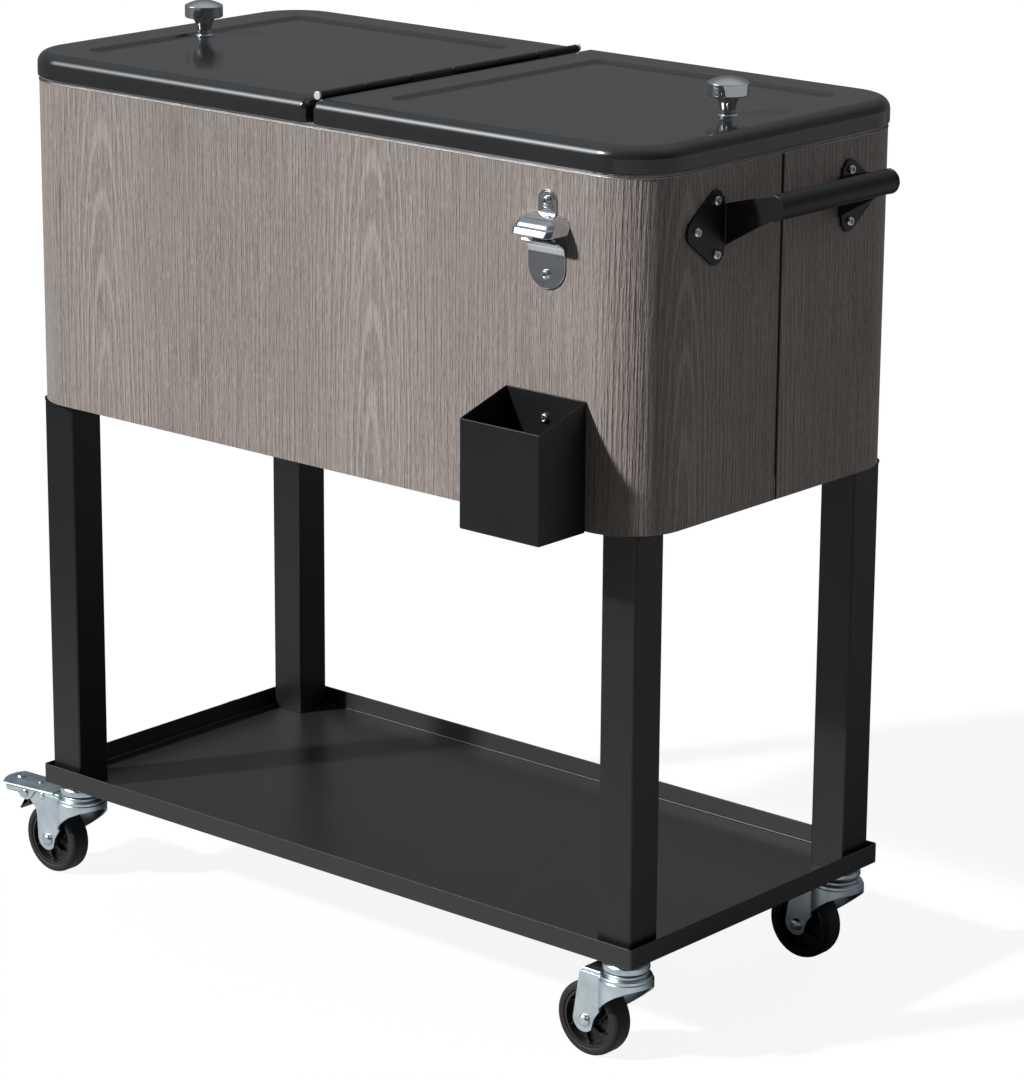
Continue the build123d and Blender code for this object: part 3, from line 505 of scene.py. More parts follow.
PLASTIC = painted(
    "black_plastic", "black_plastic", (0.012, 0.012, 0.013), (0.022, 0.022, 0.023), 0.45, 900,
    0.00004,
)
HUB = painted(
    "hub_plastic", "hub_plastic", (0.010, 0.010, 0.011), (0.020, 0.020, 0.022), 0.34, 800, 0.00004
)
RIM = plated(
    "bright_rim", "bright_rim", (0.42, 0.40, 0.39), (0.52, 0.50, 0.49), 0.40, 0.10,
    (60, 60, 1500), 0.00001,
)
SHEET = plated(
    "galvanised_sheet", "zinc_sheet", (0.46, 0.47, 0.49), (0.62, 0.64, 0.66), 0.42, 0.20,
    (60, 900, 60), 0.00002,
)
# Painted sheen: the steel pin is given a near-white colour that stands in for the bright light its metal
# reflects.
SHEEN_PAINTED_PIN = painted(
    "hinge_pin_painted_sheen", "hinge_steel", (0.82, 0.82, 0.83), (0.90, 0.90, 0.90), 0.35, 900, 0.00001,
    Metallic=0.3,
)
POLISHED = plated(
    "polished_steel", "polished_steel", (0.62, 0.65, 0.69), (0.74, 0.76, 0.79), 0.12, 0.05,
    (1300, 500, 120), 0.000008,
)
SCREW = plated(
    "screw_steel", "screw_steel", (0.66, 0.66, 0.67), (0.80, 0.80, 0.80), 0.24, 0.10, even(900),
    0.00001,
)
CHROME = plated(
    "chrome", "chrome", (0.80, 0.81, 0.83), (0.88, 0.88, 0.89), 0.05, 0.03, (300, 300, 1500),
    0.000003,
)
ZINC = plated(
    "zinc_plate", "zinc_plate", (0.50, 0.58, 0.64), (0.66, 0.74, 0.79), 0.34, 0.16, even(420),
    0.00002,
)
BOLT = plated(
    "zinc_bolt", "zinc_bolt", (0.56, 0.60, 0.62), (0.74, 0.77, 0.78), 0.28, 0.12, even(600),
    0.00001,
)
FOAM = foam_core()
RUBBER = tyre_rubber()


# The cabinet


def cabinet_half(name, side):
    """Half of the wrap: a thin sheet that runs round the cabinet from seam to seam, with its two
    ends turned in. Its chart is the length along the sheet from the middle of the half, the
    height, and the distance from the nearer seam, below zero on the turned-in ends. The back
    half's lengths start 5 m further on, so that its pattern is another one."""
    low, high = span(name)
    end, depth, seam, turned_in = high[0], abs(low[1] if side < 0 else high[1]), 0.8, 7
    inner = end - turned_in
    corners = np.array(
        [(-inner, -seam), (-end, -seam), (-end, -depth), (end, -depth), (end, -seam), (inner, -seam)]
    )
    path = rounded(corners * -side, [0, 1.0, 58, 58, 1.0, 0], 24)
    path, at = spaced(path, 20)
    sheet = folded(path, low[2], high[2], 0.8, 0.3)
    chart = np.zeros_like(sheet)
    chart[..., 0] = (at - at[-1] / 2 + 2500 * (side + 1))[:, None]
    chart[..., 1] = sheet[..., 2]
    chart[..., 2] = (np.minimum(at, at[-1] - at) - turned_in)[:, None]
    Shape().add(sheet, chart=chart).make(f"wrap_{name}", "cooler", WOOD, name)


def cabinet():
    """The wrap, the bright rim over it, and what shows of the inside."""
    for name, side in (("cabinet_front", -1), ("cabinet_back", 1)):
        cabinet_half(name, side)
    low, high = span("top_rim")
    outline = box_outline(high[0], high[1], 58.5, steps=24)
    bead = low[2] + 0.9
    corners = [(0, low[2]), (0, bead), (2.4, bead), (2.4, high[2]), (9, high[2]), (9, low[2])]
    section = rounded(corners, [0.4, 0.4, 0.15, 0.3, 0.9, 0.9], 4)
    band = raised(outline, np.vstack([section, section[:1]]))
    Shape().add(band, caps=False).make("rim_band", "cooler", RIM, "top_rim")
    for node, finish in (
        ("liner", LINER),
        ("base_pan", SHEET),
        ("crossbar", POWDER),
        ("lid_left_panel", LINER),
        ("lid_right_panel", LINER),
        ("drain_spout", PLASTIC),
        ("leg_plugs", PLASTIC),
    ):
        welded(node, finish)


def lid(name, side):
    """One lid: its outline rises from a hem, rolls over a wide edge, runs flat to the recess,
    dips, and closes across the recess floor."""
    low, high = span(f"lid_{name}_shell")
    half, middle = (high - low) / 2, (high + low) / 2
    corners = [59.5, 59.5, 6, 6] if side > 0 else [6, 6, 59.5, 59.5]
    skin = box_outline(half[0], half[1], corners, middle[:2], 16)
    bottom, top = low[2], high[2]
    hem = [(1.3, bottom + 7), (1.3, bottom), (0, bottom), (0, top), (16, top)]
    profile = rounded(hem, [0, 0.5, 0.5, 12, 0], 12)
    recess = box_outline(146.4, 152.5, 9, (side * 203.1, 0), 16)
    dip = rounded([(-6, top), (-1.6, top), (2.4, top - 2.5), (7, top - 2.5)], [0, 2.2, 2.2, 0], 6)
    grid = np.vstack([raised(skin, profile), raised(recess, dip)])
    Shape().add(grid).make(f"lid_{name}_skin", f"lid_{name}", LID, f"lid_{name}_shell", crease=50)


def knob(name):
    """A lid's knob: a foot, a waist that flares into a neck, and a wide straight cap. Its dome is
    a shallow bowl turned over: it falls by the square of the radius."""
    low, high = span(f"lid_{name}_knob")
    tall, brim, fall = 37, 18.3, 4.8
    middle = (low + high) / 2
    stem = rounded(
        [
            (0, 0), (9.4, 0), (9.4, 1.5), (7.4, 2.2), (7.3, 7), (8.8, 14), (12.0, 19.2),
            (18.4, 19.4), (19.4, 20.6), (19.4, 31.4), (brim, tall - fall),
        ],
        [0, 0.4, 0.5, 0.5, 8, 10, 0.8, 0.8, 0.8, 0.7, 0],
        6,
    )
    radii = np.linspace(brim, 0, 12)[1:]
    dome = np.column_stack([radii, tall - fall * (radii / brim) ** 2])
    centre = (*middle[:2], high[2] - tall)
    Shape().add(turned(np.vstack([stem, dome]), centre, sides=72)).make(
        f"knob_{name}", f"lid_{name}", CHROME, f"lid_{name}_knob", crease=50
    )


def hinge():
    """The piano hinge: rolled knuckles in turn on the left leaf, the middle web and the right
    leaf, each with its plate below, and the pin through them."""
    low, high = span("hinge_pin")
    height, reach = (low[2] + high[2]) / 2, high[1] - 2.8
    pitch = 2 * reach / 6
    ring = rounded([(2.1, 0.6), (3.6, 0.6), (3.6, pitch - 0.6), (2.1, pitch - 0.6)], 0.35, 3)
    ring = np.vstack([ring, ring[:1]])
    for first, (node, body) in enumerate(
        (("lid_left_leaf", "lid_left"), ("hinge_web", "cooler"), ("lid_right_leaf", "lid_right"))
    ):
        low, high = span(node)
        half = 0.8 if node == "hinge_web" else 0.6
        middle = (low[0] + half, 0, high[0] - half)[first]
        shape = Shape()
        for start in np.arange(first, 6, 3) * pitch - reach:
            shape.add(turned(ring, (0, start, height), "y", 40), caps=False)
            shape.add(
                block(
                    (middle - half, start + 0.6, height - 5.5),
                    (middle + half, start + pitch - 0.6, height - 1.0),
                    0.25,
                )
            )
        shape.add(block((middle - half, *low[1:]), (middle + half, high[1], height - 5), 0.25))
        if node == "hinge_web":
            shape.add(block(low, (high[0], high[1], low[2] + 1), 0.3))
        shape.make(f"{node}_rolled", body, POWDER, node)
    low, high = span("hinge_pin")
    profile = rounded(
        [(0, low[1]), (4.0, low[1]), (4.0, low[1] + 2.5), (2, low[1] + 2.5),
         (2, high[1] - 2.5), (4.0, high[1] - 2.5), (4.0, high[1]), (0, high[1])],
        [0, 0.5, 0.4, 0, 0, 0.4, 0.5, 0],
        5,
    )
    shape = Shape().add(turned(profile, (0, 0, height), "y", 40))
    shape.make("hinge_pin_turned", "cooler", SHEEN_PAINTED_PIN, "hinge_pin")


# The handle, opener, catcher and screws


# The bracket's foot: places along the wall from the fold, and half its height there
LOBES = (
    (0, 3.5, 6, 9, 13, 16, 19, 48.7, 51, 53, 53.8, 54),
    (27, 27.8, 31.6, 33.7, 34.5, 34, 32.5, 10.4, 8.3, 5, 2.5, 1),
)
# How thick the brackets are, and how far the bar lies above their middle
BRACKET, BAR_RISE = 3, 22.5
# The opener's sheet, its tab's radius and how far apart its two screws are
OPENER, TAB, OPENER_PITCH = 1.8, 10.5, 67
# The opener's hood: the rows of its section over its lower edge, then height and measure of half
# its width at the wall, of its reach from the wall and of half its width at the lip
HOOD_ROWS = np.array([0, 0.8, 2.6, 4.8, 6.0, 6.6, 7.4, 9.0, 11.0, 13.0, 15.0, 16.8, 18.0])
HOOD_WIDE = ((0, 6, 9, 13, 16, 18), (25.8, 25.8, 25.4, 24.0, 20.0, 10.4))
HOOD_REACH = ((0, 5, 6, 7.4, 9, 13, 16, 18), (27.4, 25.6, 24.8, 23.0, 22.4, 18.8, 13.0, 4.6))
HOOD_LIP = ((0, 6, 7.4, 9, 13, 16, 18), (22.8, 22.4, 21.4, 21.0, 19.4, 15.6, 9.2))
# The catcher's sheet, and how far its top edge slopes down to the front
CATCHER, CATCHER_SLOPE = 1.2, 19.5


def handle():
    """Two brackets folded from plate, and the bar between them. Along the fold's path the plate
    is as tall as its lobed foot, and past the fold as the arm, whose straight edges run out to a
    round tip about the bar: the root of its radius squared less the distance squared."""
    low, high = span("handle_bar")
    bar = (low + high) / 2
    height = bar[2] - BAR_RISE
    tip, reach, root = 12, 56, 19.5
    for place, side in (("front", -1), ("back", 1)):
        fold = side * 84.5
        corners = [(bar[0] + tip, fold), (END_WALL, fold), (END_WALL, fold + side * 57)]
        path, _ = spaced(rounded(corners, [0, 4.5, 0], 8), 0.8)
        if side > 0:
            path = path[::-1]
        out = path[:, 0] - END_WALL
        along = np.abs(path[:, 1]) - 87.5
        slope = (BAR_RISE + tip - root) / reach
        head = np.sqrt(np.maximum(tip**2 - np.maximum(out - reach, -tip) ** 2, 0))
        arm_high = np.where(out > reach, BAR_RISE + head, root + slope * out)
        arm_low = np.where(out > 52, BAR_RISE - head, -root + 30 * out / 52)
        arm_low = np.minimum(arm_low, arm_high)
        foot = np.interp(along, *LOBES)
        on_wall = along > 1.2
        high_side = np.where(on_wall, foot, arm_high) + height
        low_side = np.where(on_wall, -foot, arm_low) + height
        shape = Shape().add(folded(path, low_side, high_side, BRACKET, 0.7))
        shape.make(f"bracket_{place}", "cooler", POWDER, f"handle_bracket_{place}", crease=50)
    radius = (high[0] - low[0]) / 2
    corners = [(0, low[1]), (radius, low[1]), (radius, high[1]), (0, high[1])]
    grid = turned(rounded(corners, [0, 0.8, 0.8, 0], 4), (bar[0], 0, bar[2]), "y", 64)
    Shape().add(grid).make("handle_grip_bar", "cooler", POWDER, "handle_bar")


def opener():
    """The bottle opener: a tab and a plate on the wall, the plate's top rolled out as a tongue,
    and a hood that swells from its neck down to its lip. The plate's lower end is half a disc:
    half its width is the root of its radius squared less the distance squared."""
    low, high = span("bottle_opener")
    middle, wall = (low[0] + high[0]) / 2, FRONT_WALL
    top = high[2] - TAB
    bottom = top - 28.5
    rise = HOOD_ROWS + bottom
    wide, out, lip = (np.interp(HOOD_ROWS, *line) for line in (HOOD_WIDE, HOOD_REACH, HOOD_LIP))

    def level(index, inset, drop):
        """One row: a rounded trapezium that stands on the wall, drawn in and let down a little."""
        half, front, reach = (measure[index] - inset for measure in (wide, lip, out))
        corner = np.clip(reach / 2 - 0.5, 0.6, 7)
        corners = [
            (middle - half, wall + 0.2), (middle - front, wall - reach),
            (middle + front, wall - reach), (middle + half, wall + 0.2),
        ]
        outline = rounded(corners, [0.05, corner, corner, 0.05], 10)
        return np.column_stack([outline, np.full(len(outline), rise[index] - drop)])

    outside = [level(index, 0, 0) for index in range(1, len(rise))]
    inside = [level(index, 1.6, 1.6 if index > 3 else 0) for index in range(len(rise) - 1, 0, -1)]
    lower = [level(0, 1.5, 0.3), level(0, 1.0, 0.5), level(0, 0.5, 0.3), level(0, 0.1, 0)]
    shape = Shape().add(np.stack([*inside, *lower, *outside]))
    tab = free_outline(
        [(-TAB, bottom + 2), (TAB, bottom + 2), (TAB, top + TAB), (-TAB, top + TAB)],
        [0.5, 0.5, 10.3, 10.3], 10,
    )
    shape.add(plate(lambda inset: tab(inset) + (middle, 0), wall, wall - OPENER, 0.6, "xzy"))
    collar = rounded([(6.4, 0), (6.4, 0.8), (8.8, 0.8), (8.8, 0)], [0, 0.4, 0.4, 0], 3)
    shape.add(turned(collar * (1, -1), (middle, wall - 1.7, top), "y", 40))
    shape.add(block((middle - 10, wall - 1.4, top - 46), (middle + 10, wall, bottom + 5), 0.3))
    low_end, radius = top - OPENER_PITCH - 13.5, 21.6
    path = np.array([(0, low_end), (0, top - 48), (-2.4, top - 39), (-12, top - 34.6)])
    path, at = spaced(rounded(path, [0, 14, 7, 0], 8), 1.0)
    drop = np.clip(radius - at, 0, radius)
    half = np.sqrt(np.maximum(radius**2 - drop**2, 0)) - 1.2 * smooth(-path[:, 0], 7, 12)
    shape.add(folded(path + (wall, 0), middle - half, middle + half, OPENER, 0.6, "yzx"))
    shape.make("wall_opener", "cooler", POLISHED, "bottle_opener", crease=60)


def catcher():
    """The cap catcher: a folded open box whose top edge slopes down to the front. Its upper
    rings are lifted by a share of the distance from the front."""
    low, high = span("cap_catcher")
    half, middle = (high - low) / 2, (high + low) / 2
    front, slope = high[2] - CATCHER_SLOPE, CATCHER_SLOPE / (high[1] - low[1])
    outline = box_outline(half[0], half[1], 1.6, middle[:2], 5)
    grid = raised(outline, rounded(sheet_box(low[2], front, CATCHER, 6), [0, 1.6, 0.5, 0.5, 1.0, 0]))
    grid[..., 2] += slope * (grid[..., 1] - low[1]) * (grid[..., 2] > middle[2])
    Shape().add(grid).make("catcher_box", "cooler", POWDER, "cap_catcher")


def sheet_box(bottom, top, wall, floor_edge, sheet=1.2):
    """The corners of an open box's section, inset and height: its floor, and its upright wall."""
    inside = bottom + sheet
    return [(floor_edge, bottom), (0, bottom), (0, top), (wall, top), (wall, inside), (floor_edge, inside)]


def button(head, tall, socket, deep, shank, long):
    """A button screw's profile of radius and rise, and which of its rows are six-sided. The head
    and the socket are given by radius and by height or depth, and the shank by radius and length.
    The dome's radius shrinks by one less the cosine of an angle, and its height is the sine."""
    dome = np.linspace(0, 1, 7)
    radii = head - (head - socket - 0.5) * (1 - np.cos(dome * 1.45))
    floor_rise = tall - deep
    rows = np.vstack(
        [
            [(0, -long), (shank, -long), (shank, 0), (head - 0.25, 0), (head, 0.3)],
            np.column_stack([radii, 0.3 + tall * np.sin(dome * 1.57)]),
            [(socket + 0.1, tall + 0.3), (socket, tall + 0.1), (socket, floor_rise), (0, floor_rise - 0.3)],
        ]
    )
    return rows, np.arange(len(rows)) >= len(rows) - 3


def screws():
    """Button-head screws with a six-sided socket, in the walls, and the bolts of the leg plates."""
    low, high = span("bottle_opener")
    across, top = (low[0] + high[0]) / 2, high[2] - TAB
    low, high = span("handle_bar")
    height = (low[2] + high[2]) / 2 - BAR_RISE
    bottom = span("cap_catcher")[0][2]
    seats = (
        (top, OPENER), (top - OPENER_PITCH, OPENER), (bottom + 99.5, CATCHER), (bottom + 40.5, CATCHER),
    )
    rows, six = button(4.6, 2.7, 2.3, 1.9, 2.4, 12)
    shape = Shape()
    for rise, seat in seats:
        shape.add(turned(rows * (1, -1), (across, FRONT_WALL - seat, rise), "y", 36, six))
    for side in (-1, 1):
        for along, rise in ((100.5, 24.5), (100.5, -24.5), (128.5, 0)):
            at = (END_WALL + BRACKET, side * along, height + rise)
            shape.add(turned(rows, at, "x", 36, six))
    shape.make("button_screws", "cooler", SCREW, "wall_screws", crease=30)
    plate_face = span("leg_bolts")[0][2] + 3.6
    rows, six = button(5.5, 3.0, 2.6, 2.0, 3, 9)
    shape = Shape()
    for sign_x in (-1, 1):
        for sign_y in (-1, 1):
            for inward in ((47, -15), (47, 47), (-15, 47)):
                at = (LEG_PLACE - inward) * (sign_x, sign_y)
                shape.add(turned(rows * (1, -1), (*at, plate_face), "z", 24, six))
    shape.make("plate_bolts", "cooler", SCREW, "leg_bolts", crease=30)


# The legs, tray and drain


def legs():
    """Square tubes with rolled corners, each under a rounded plate."""
    for name in ("front_left", "front_right", "back_left", "back_right"):
        low, high = span(f"leg_{name}")
        sign = np.sign(low[:2] + high[:2])
        centre = sign * LEG_PLACE
        tube = box_outline(20, 20, 2.2, centre, 6)
        shape = Shape().add(plate(tube, low[2], high[2] - 2.5, 0.4))
        foot = box_outline(40.25, 40.25, 9, centre - sign * 17.75, 8)
        shape.add(plate(foot, high[2] - 3, high[2], 0.5))
        shape.make(f"post_{name}", "cooler", POWDER, f"leg_{name}")


def tray():
    """The tray shelf: sheet with upturned walls, rounded at the folds and along the top edge."""
    low, high = span("tray")
    outline = box_outline(high[0], high[1], 2.4, steps=5)
    corners = sheet_box(low[2], high[2], 1.4, 8)
    grid = raised(outline, rounded(corners, [0, 1.6, 0.6, 0.6, 1.6, 0]))
    Shape().add(grid).make("shelf_tray", "cooler", TRAY, "tray")


def drain():
    """The drain's cap: a cup with grip ribs. Round its wall the radius swings by 3 percent, with
    the cosine of 24 times the angle."""
    low, high = span("drain_cap")
    middle = (low + high) / 2
    radius, ribs, sides = 14.5, 24, 144
    corners = np.array(sheet_box(low[2], high[2], 3.2, radius, 3.2))
    corners[:, 0] = radius - corners[:, 0]
    profile = rounded(corners, [0, 1.5, 0.5, 0.4, 0.4, 0])
    grid = turned(profile, (0, 0, 0), sides=sides)
    turn = np.linspace(0, 2 * np.pi, sides, endpoint=False)
    swing = 1 + 0.03 * np.cos(ribs * turn) * (profile[:, :1] > radius - 1)
    grid[..., :2] *= swing[..., None]
    Shape().add(grid + (*middle[:2], 0)).make("drain_screw_cap", "drain_cap", PLASTIC, "drain_cap")


# The casters


# Places along the wheel, from behind the axle to the crown's front, and heights there of the fork
# wall's lower edge: on the wheel's near side, on its far side, and under the ear of a brake
NEAR_EDGE = (
    (-29.5, -27, -24, -20, -15, -9, -1.5, 6, 16, 25),
    (30.5, 40.0, 44.8, 50.3, 56.0, 62.0, 68.7, 74.3, 79.5, 82.0),
)
FAR_EDGE = ((-29.5, -26, -20, -8.5, 0, 8, 16, 25), (30.5, 37.0, 44.0, 53.0, 60.0, 67.0, 74.0, 82.0))
EAR_EDGE = ((-64, -55.2, -53.3, -52), (75.5, 67.9, 60.4, 37.5))
# Where the wall's upper edge meets the crown, and where its foot round the axle ends to the back
# and to the front
CROWN_EDGE, FOOT_BACK, FOOT_FRONT = 86.6, -52, -29.5


def fork_wall(x, y, braked):
    """The fork's sheet wall, which follows a U in plan: flat past each side of the wheel, then
    round the crown. Its lower edge is a circle about the axle, sweeps up and ends in a short
    skirt. Its back edge flares out into an ear under a brake, and else leans to the crown."""
    start, flat_end, side = (-64 if braked else FOOT_BACK), -20.3, -12.5
    run_share = 1 - np.cos(np.linspace(0, np.pi / 2, 100))
    flat = np.column_stack([start - (start - flat_end) * run_share, np.full(100, side)])
    turn = np.linspace(np.arctan2(side, flat_end), 0, 60)[1:]
    arc = 23.84 * np.column_stack([np.cos(turn), np.sin(turn)])
    half = np.vstack([flat, arc])
    path = np.vstack([half, (half * (1, -1))[::-1][1:]])
    run = path[:, 0]
    foot = 37.5 - np.sqrt(np.maximum(12.6**2 - (run + 39.4) ** 2, 0))
    near, far, ear = (np.interp(run, *edge) for edge in (NEAR_EDGE, FAR_EDGE, EAR_EDGE))
    sweep = near + smooth(path[:, 1], -12, 12) * (far - near)
    low = np.where(run < FOOT_BACK, ear, np.where(run < FOOT_FRONT, foot, sweep))
    if braked:
        high = CROWN_EDGE + 2.4 * (run < -41)
    else:
        high = np.maximum(np.minimum(CROWN_EDGE, 37.6 + 6.5 * (run - FOOT_BACK)), low)
    return folded(path[::-1], low[::-1], high[::-1], 2.5, 0.7) + (x, y, 0)


def caster(place):
    """A swivel caster: its race under the tray, the fork with its round crown, the wheel's ribbed
    hub and tyre, and the axle bolt."""
    low, high = span(f"caster_{place}_race")
    x, y = (low[:2] + high[:2]) / 2
    race = rounded(
        [(0, 80), (7.5, 80), (7.5, 83), (4.5, 83), (4.5, 97.8), (20.2, 97.8), (20.4, 95.7),
         (22.0, 95.7), (22.6, 98), (22.3, 101.5), (20.6, 103.6), (20, 104.2), (20, 107),
         (5, 107), (5, 123), (0, 123)],
        [0, 0.5, 0.5, 0, 0, 0.3, 0.3, 0.5, 1.5, 1.5, 0.4, 0.2, 0, 0, 1, 0],
        5,
    )
    Shape().add(turned(race, (x, y, 0), sides=64)).make(
        f"race_{place}", "cooler", ZINC, f"caster_{place}_race"
    )
    half_turn = np.arctan2(15, -20)
    turn = np.linspace(-half_turn, half_turn, 60)
    arc = 25 * np.column_stack([np.cos(turn), np.sin(turn)])
    outline = free_outline(np.vstack([[(-40.9, -15)], arc, [(-40.9, 15)]]), 0, 0)
    cover = raised(
        lambda inset: outline(inset) + (x, y),
        rounded([(4, 86.4), (0, 86.4), (0, 90.6), (4, 90.6)], [0, 0.1, 1.8, 0], 5),
    )
    crown = rounded([(0, 87), (21, 87), (21, 93.4), (18, 94.6), (0, 96.8)], [0, 0, 1.2, 3, 0], 6)
    braked = "left" in place
    shape = Shape().add(fork_wall(x, y, braked)).add(cover).add(turned(crown, (x, y, 0), sides=72))
    if braked:
        rivet = button(4.0, 1.4, 0.6, 0.1, 3, 3)[0]
        for side in (-1, 1):
            shape.add(turned(rivet * (1, side), (x - 45.5, y + side * 15, 83.5), "y", 32))
    shape.make(f"fork_{place}", f"caster_{place}_swivel", ZINC, f"caster_{place}_fork", crease=45)
    wheel = np.array([x - 38, y, 37])
    wheel_parts(place, wheel)
    head = button(6.5, 3.6, 1.0, 0.3, 4, 15)[0]
    nut = rounded([(0, 14), (0.1, 15), (6.5, 15), (6.5, 20), (0, 20)], [0, 0, 0.3, 1.2, 0], 3)
    hexed = np.where(nut[:, 0] > 5, 1, 0)
    shape = Shape().add(turned(head * (1, -1), wheel - (0, 15, 0), "y", 40))
    shape.add(turned(nut, wheel, "y", 36, hexed))
    shape.make(f"axle_{place}", f"caster_{place}_swivel", BOLT, f"caster_{place}_axle", crease=30)
    if braked:
        brake(place, x, y)


def wheel_parts(place, wheel):
    """The hub is a disc whose half thickness is a function of radius and turn: a boss, a web with
    curved ribs on it, and a rim. The tyre is a turned ring with rounded shoulders."""
    radius = np.concatenate(
        [[4.05, 8.2, 9.0, 9.6], np.linspace(10.5, 24.5, 18), [25.2, 25.8, 26.2, 28.6, 29]]
    )
    turn = np.linspace(0, 2 * np.pi, 180, endpoint=False)
    r, t = np.meshgrid(radius, turn, indexing="ij")
    lean = t + 0.55 * (r - 9) / 17
    off = np.abs((lean * 6 / (2 * np.pi)) % 1 - 0.5) * 2 * np.pi / 6 * r
    rib = 1 - smooth(off, 1.1, 1.9)
    thick = 3 + 4.2 * rib
    thick = thick + (11.5 - thick) * (1 - smooth(r, 8.6, 9.8))
    thick = thick + (10.0 - thick) * smooth(r, 24.9, 26.0)
    thick = thick - 0.5 * smooth(r, 28.4, 29)
    front = np.stack([r * np.sin(t), -thick, r * np.cos(t)], -1)
    rows = np.vstack([front, (front * (1, -1, 1))[::-1], front[:1]])
    shape = Shape().add(rows + wheel, caps=False)
    shape.make(f"hub_{place}", f"caster_{place}_wheel", HUB, f"caster_{place}_hub", crease=40)
    ring = rounded(
        [(29.05, -10.4), (30.2, -11), (33.4, -11), (36.2, -9.6), (37, -6.5), (37, 6.5), (36.2, 9.6),
         (33.4, 11), (30.2, 11), (29.05, 10.4)],
        [0.3, 0.6, 1.2, 2.0, 3.0, 3.0, 2.0, 1.2, 0.6, 0.3],
        4,
    )
    grid = turned(np.vstack([ring, ring[:1]]), wheel, "y", 96)
    shape = Shape().add(grid, caps=False)
    shape.make(f"tyre_{place}", f"caster_{place}_wheel", RUBBER, f"caster_{place}_tyre", crease=40)


# The pedal's flanges: heights, and how far along the wheel their back and front edges lie there
FLANGE_BACK = (
    (75.3, 75.8, 78.8, 81.0, 82.9, 83.2, 85.1, 89.1),
    (-69, -75.5, -78.7, -79.7, -82, -95, -98, -98),
)
FLANGE_FRONT = ((75.3, 77.2, 82, 86, 88, 89.1), (-66, -62.2, -58, -55, -50, -43))


def brake(place, x, y):
    """The brake pedal: a channel of sheet. Its top runs out to a pad with rounded corners and two
    dimples. The pad's tip and two sides fall away, the front one further than the back one. The
    flanges are narrow along the pad and wide round the rivets. The black tongue hangs under it."""
    half, top, bottom, corner = 17.3, 92.0, 75.3, 10
    path = rounded([(-half, bottom), (-half, top), (half, top), (half, bottom)], [0, 2.8, 2.8, 0], 6)
    path, _ = spaced(path, 0.7)
    side, up = np.abs(path[:, 0]), path[:, 1]
    past = np.maximum(side - (half - corner), 0)
    curve = np.sqrt(np.maximum(corner**2 - past**2, 0)) - corner
    flange = up < top - 2.9
    back = np.where(flange, np.interp(up, *FLANGE_BACK), -108 - curve)
    front = np.where(flange, np.interp(up, *FLANGE_FRONT), -27)
    sheet = folded(path[::-1], back[::-1], front[::-1], 2, 0.6, "yzx")
    fall = 2.4 - 1.6 * np.sign(sheet[..., 1])
    fall = fall * smooth(np.abs(sheet[..., 1]), 3, half) * smooth(-sheet[..., 0], 76, 97)
    sheet[..., 2] -= fall + 2.2 * smooth(-sheet[..., 0], 97, 109)
    shape = Shape().add(sheet + (x, y, 0))
    dimple = rounded([(0, -1), (1, -1), (0.8, 0.9), (0, 1.1)], [0, 0, 0.3, 0], 4)
    for out, wide in ((-92, 5.0), (-62, 3.4)):
        shape.add(turned(dimple * (wide, 0.9), (x + out, y, top - 0.6), sides=40))
    rivet = button(4.4, 2.0, 0.6, 0.1, 3, 3)[0]
    for turn in (-1, 1):
        shape.add(turned(rivet * (1, turn), (x - 68.4, y + turn * half, 82.5), "y", 32))
    shape.make(f"pedal_{place}", f"brake_{place}", ZINC, f"brake_{place}_lever", crease=45)
    corners = [(-66, 90), (-69, 90), (-75, 70), (-86, 61), (-86, 58), (-72, 67)]
    outline = free_outline(corners, [0.4, 0.4, 3, 1.2, 1.2, 3], 5)
    tongue = plate(lambda inset: outline(inset) + (x, 0), y - 9, y + 9, 0.7, "xzy")
    Shape().add(tongue).make(f"tongue_{place}", f"brake_{place}", PLASTIC, f"brake_{place}_tongue")


cabinet()
for lid_name, lid_side in (("left", -1), ("right", 1)):
    lid(lid_name, lid_side)
    knob(lid_name)
hinge()
handle()
opener()
catcher()
screws()
legs()
tray()
drain()
for caster_place in ("front_left", "front_right", "back_left", "back_right"):
    caster(caster_place)
for foam_node in ("insulation", "lid_left_foam", "lid_right_foam"):
    foam_mesh = nodes[foam_node].data
    foam_mesh.materials.clear()
    foam_mesh.materials.append(FOAM.material)


# The floor, light and camera


# The sides that the three suns, the bright screen and the camera are on
KEY_SIDE, FILL_SIDE, BACK_SIDE = (-0.41, -0.72, 0.56), (0.78, 0.48, 0.40), (-0.20, 0.93, 0.30)
SCREEN_SIDE, CAMERA_SIDE = (-0.627, -0.604, 0.492), (0.66, -0.72, 0.20)
KINDS_OF_RAY = ("Camera", "Transmission", "Glossy")
WHITE = (1.0, 1.0, 1.0)


class Light(Finish):
    """A node tree that gives off light: what the camera and glass see of it, what metal sees, and
    what it lights the object by."""

    def __init__(self, tree, emitter):
        self.tree, self.emitter = tree, emitter
        self.place = self.node("ShaderNodeTexCoord", {}, {}).outputs["Object"]
        rays = self.node("ShaderNodeLightPath", {}, {}).outputs
        camera, glass, metal = (Field(self, rays[f"Is {kind} Ray"]) for kind in KINDS_OF_RAY)
        self.seen, self.metal = self.math("MAXIMUM", camera, glass), metal

    def toward(self, side):
        """The cosine of the angle between the place looked at and a side."""
        inputs = {0: self.place, 1: side}
        settings = {"operation": "DOT_PRODUCT"}
        return Field(self, self.node("ShaderNodeVectorMath", settings, inputs).outputs["Value"])

    def glow(self, colour, seen, in_metal, on_object):
        """Light at each of the three strengths: white to the camera, and else of one colour."""
        strength = self.seen * seen + self.metal * in_metal
        strength = strength + (1 - self.seen - self.metal) * on_object
        tint = self.mix(self.seen, colour, WHITE)
        return self.node(self.emitter, {}, {"Color": tint, "Strength": strength}).outputs[0]


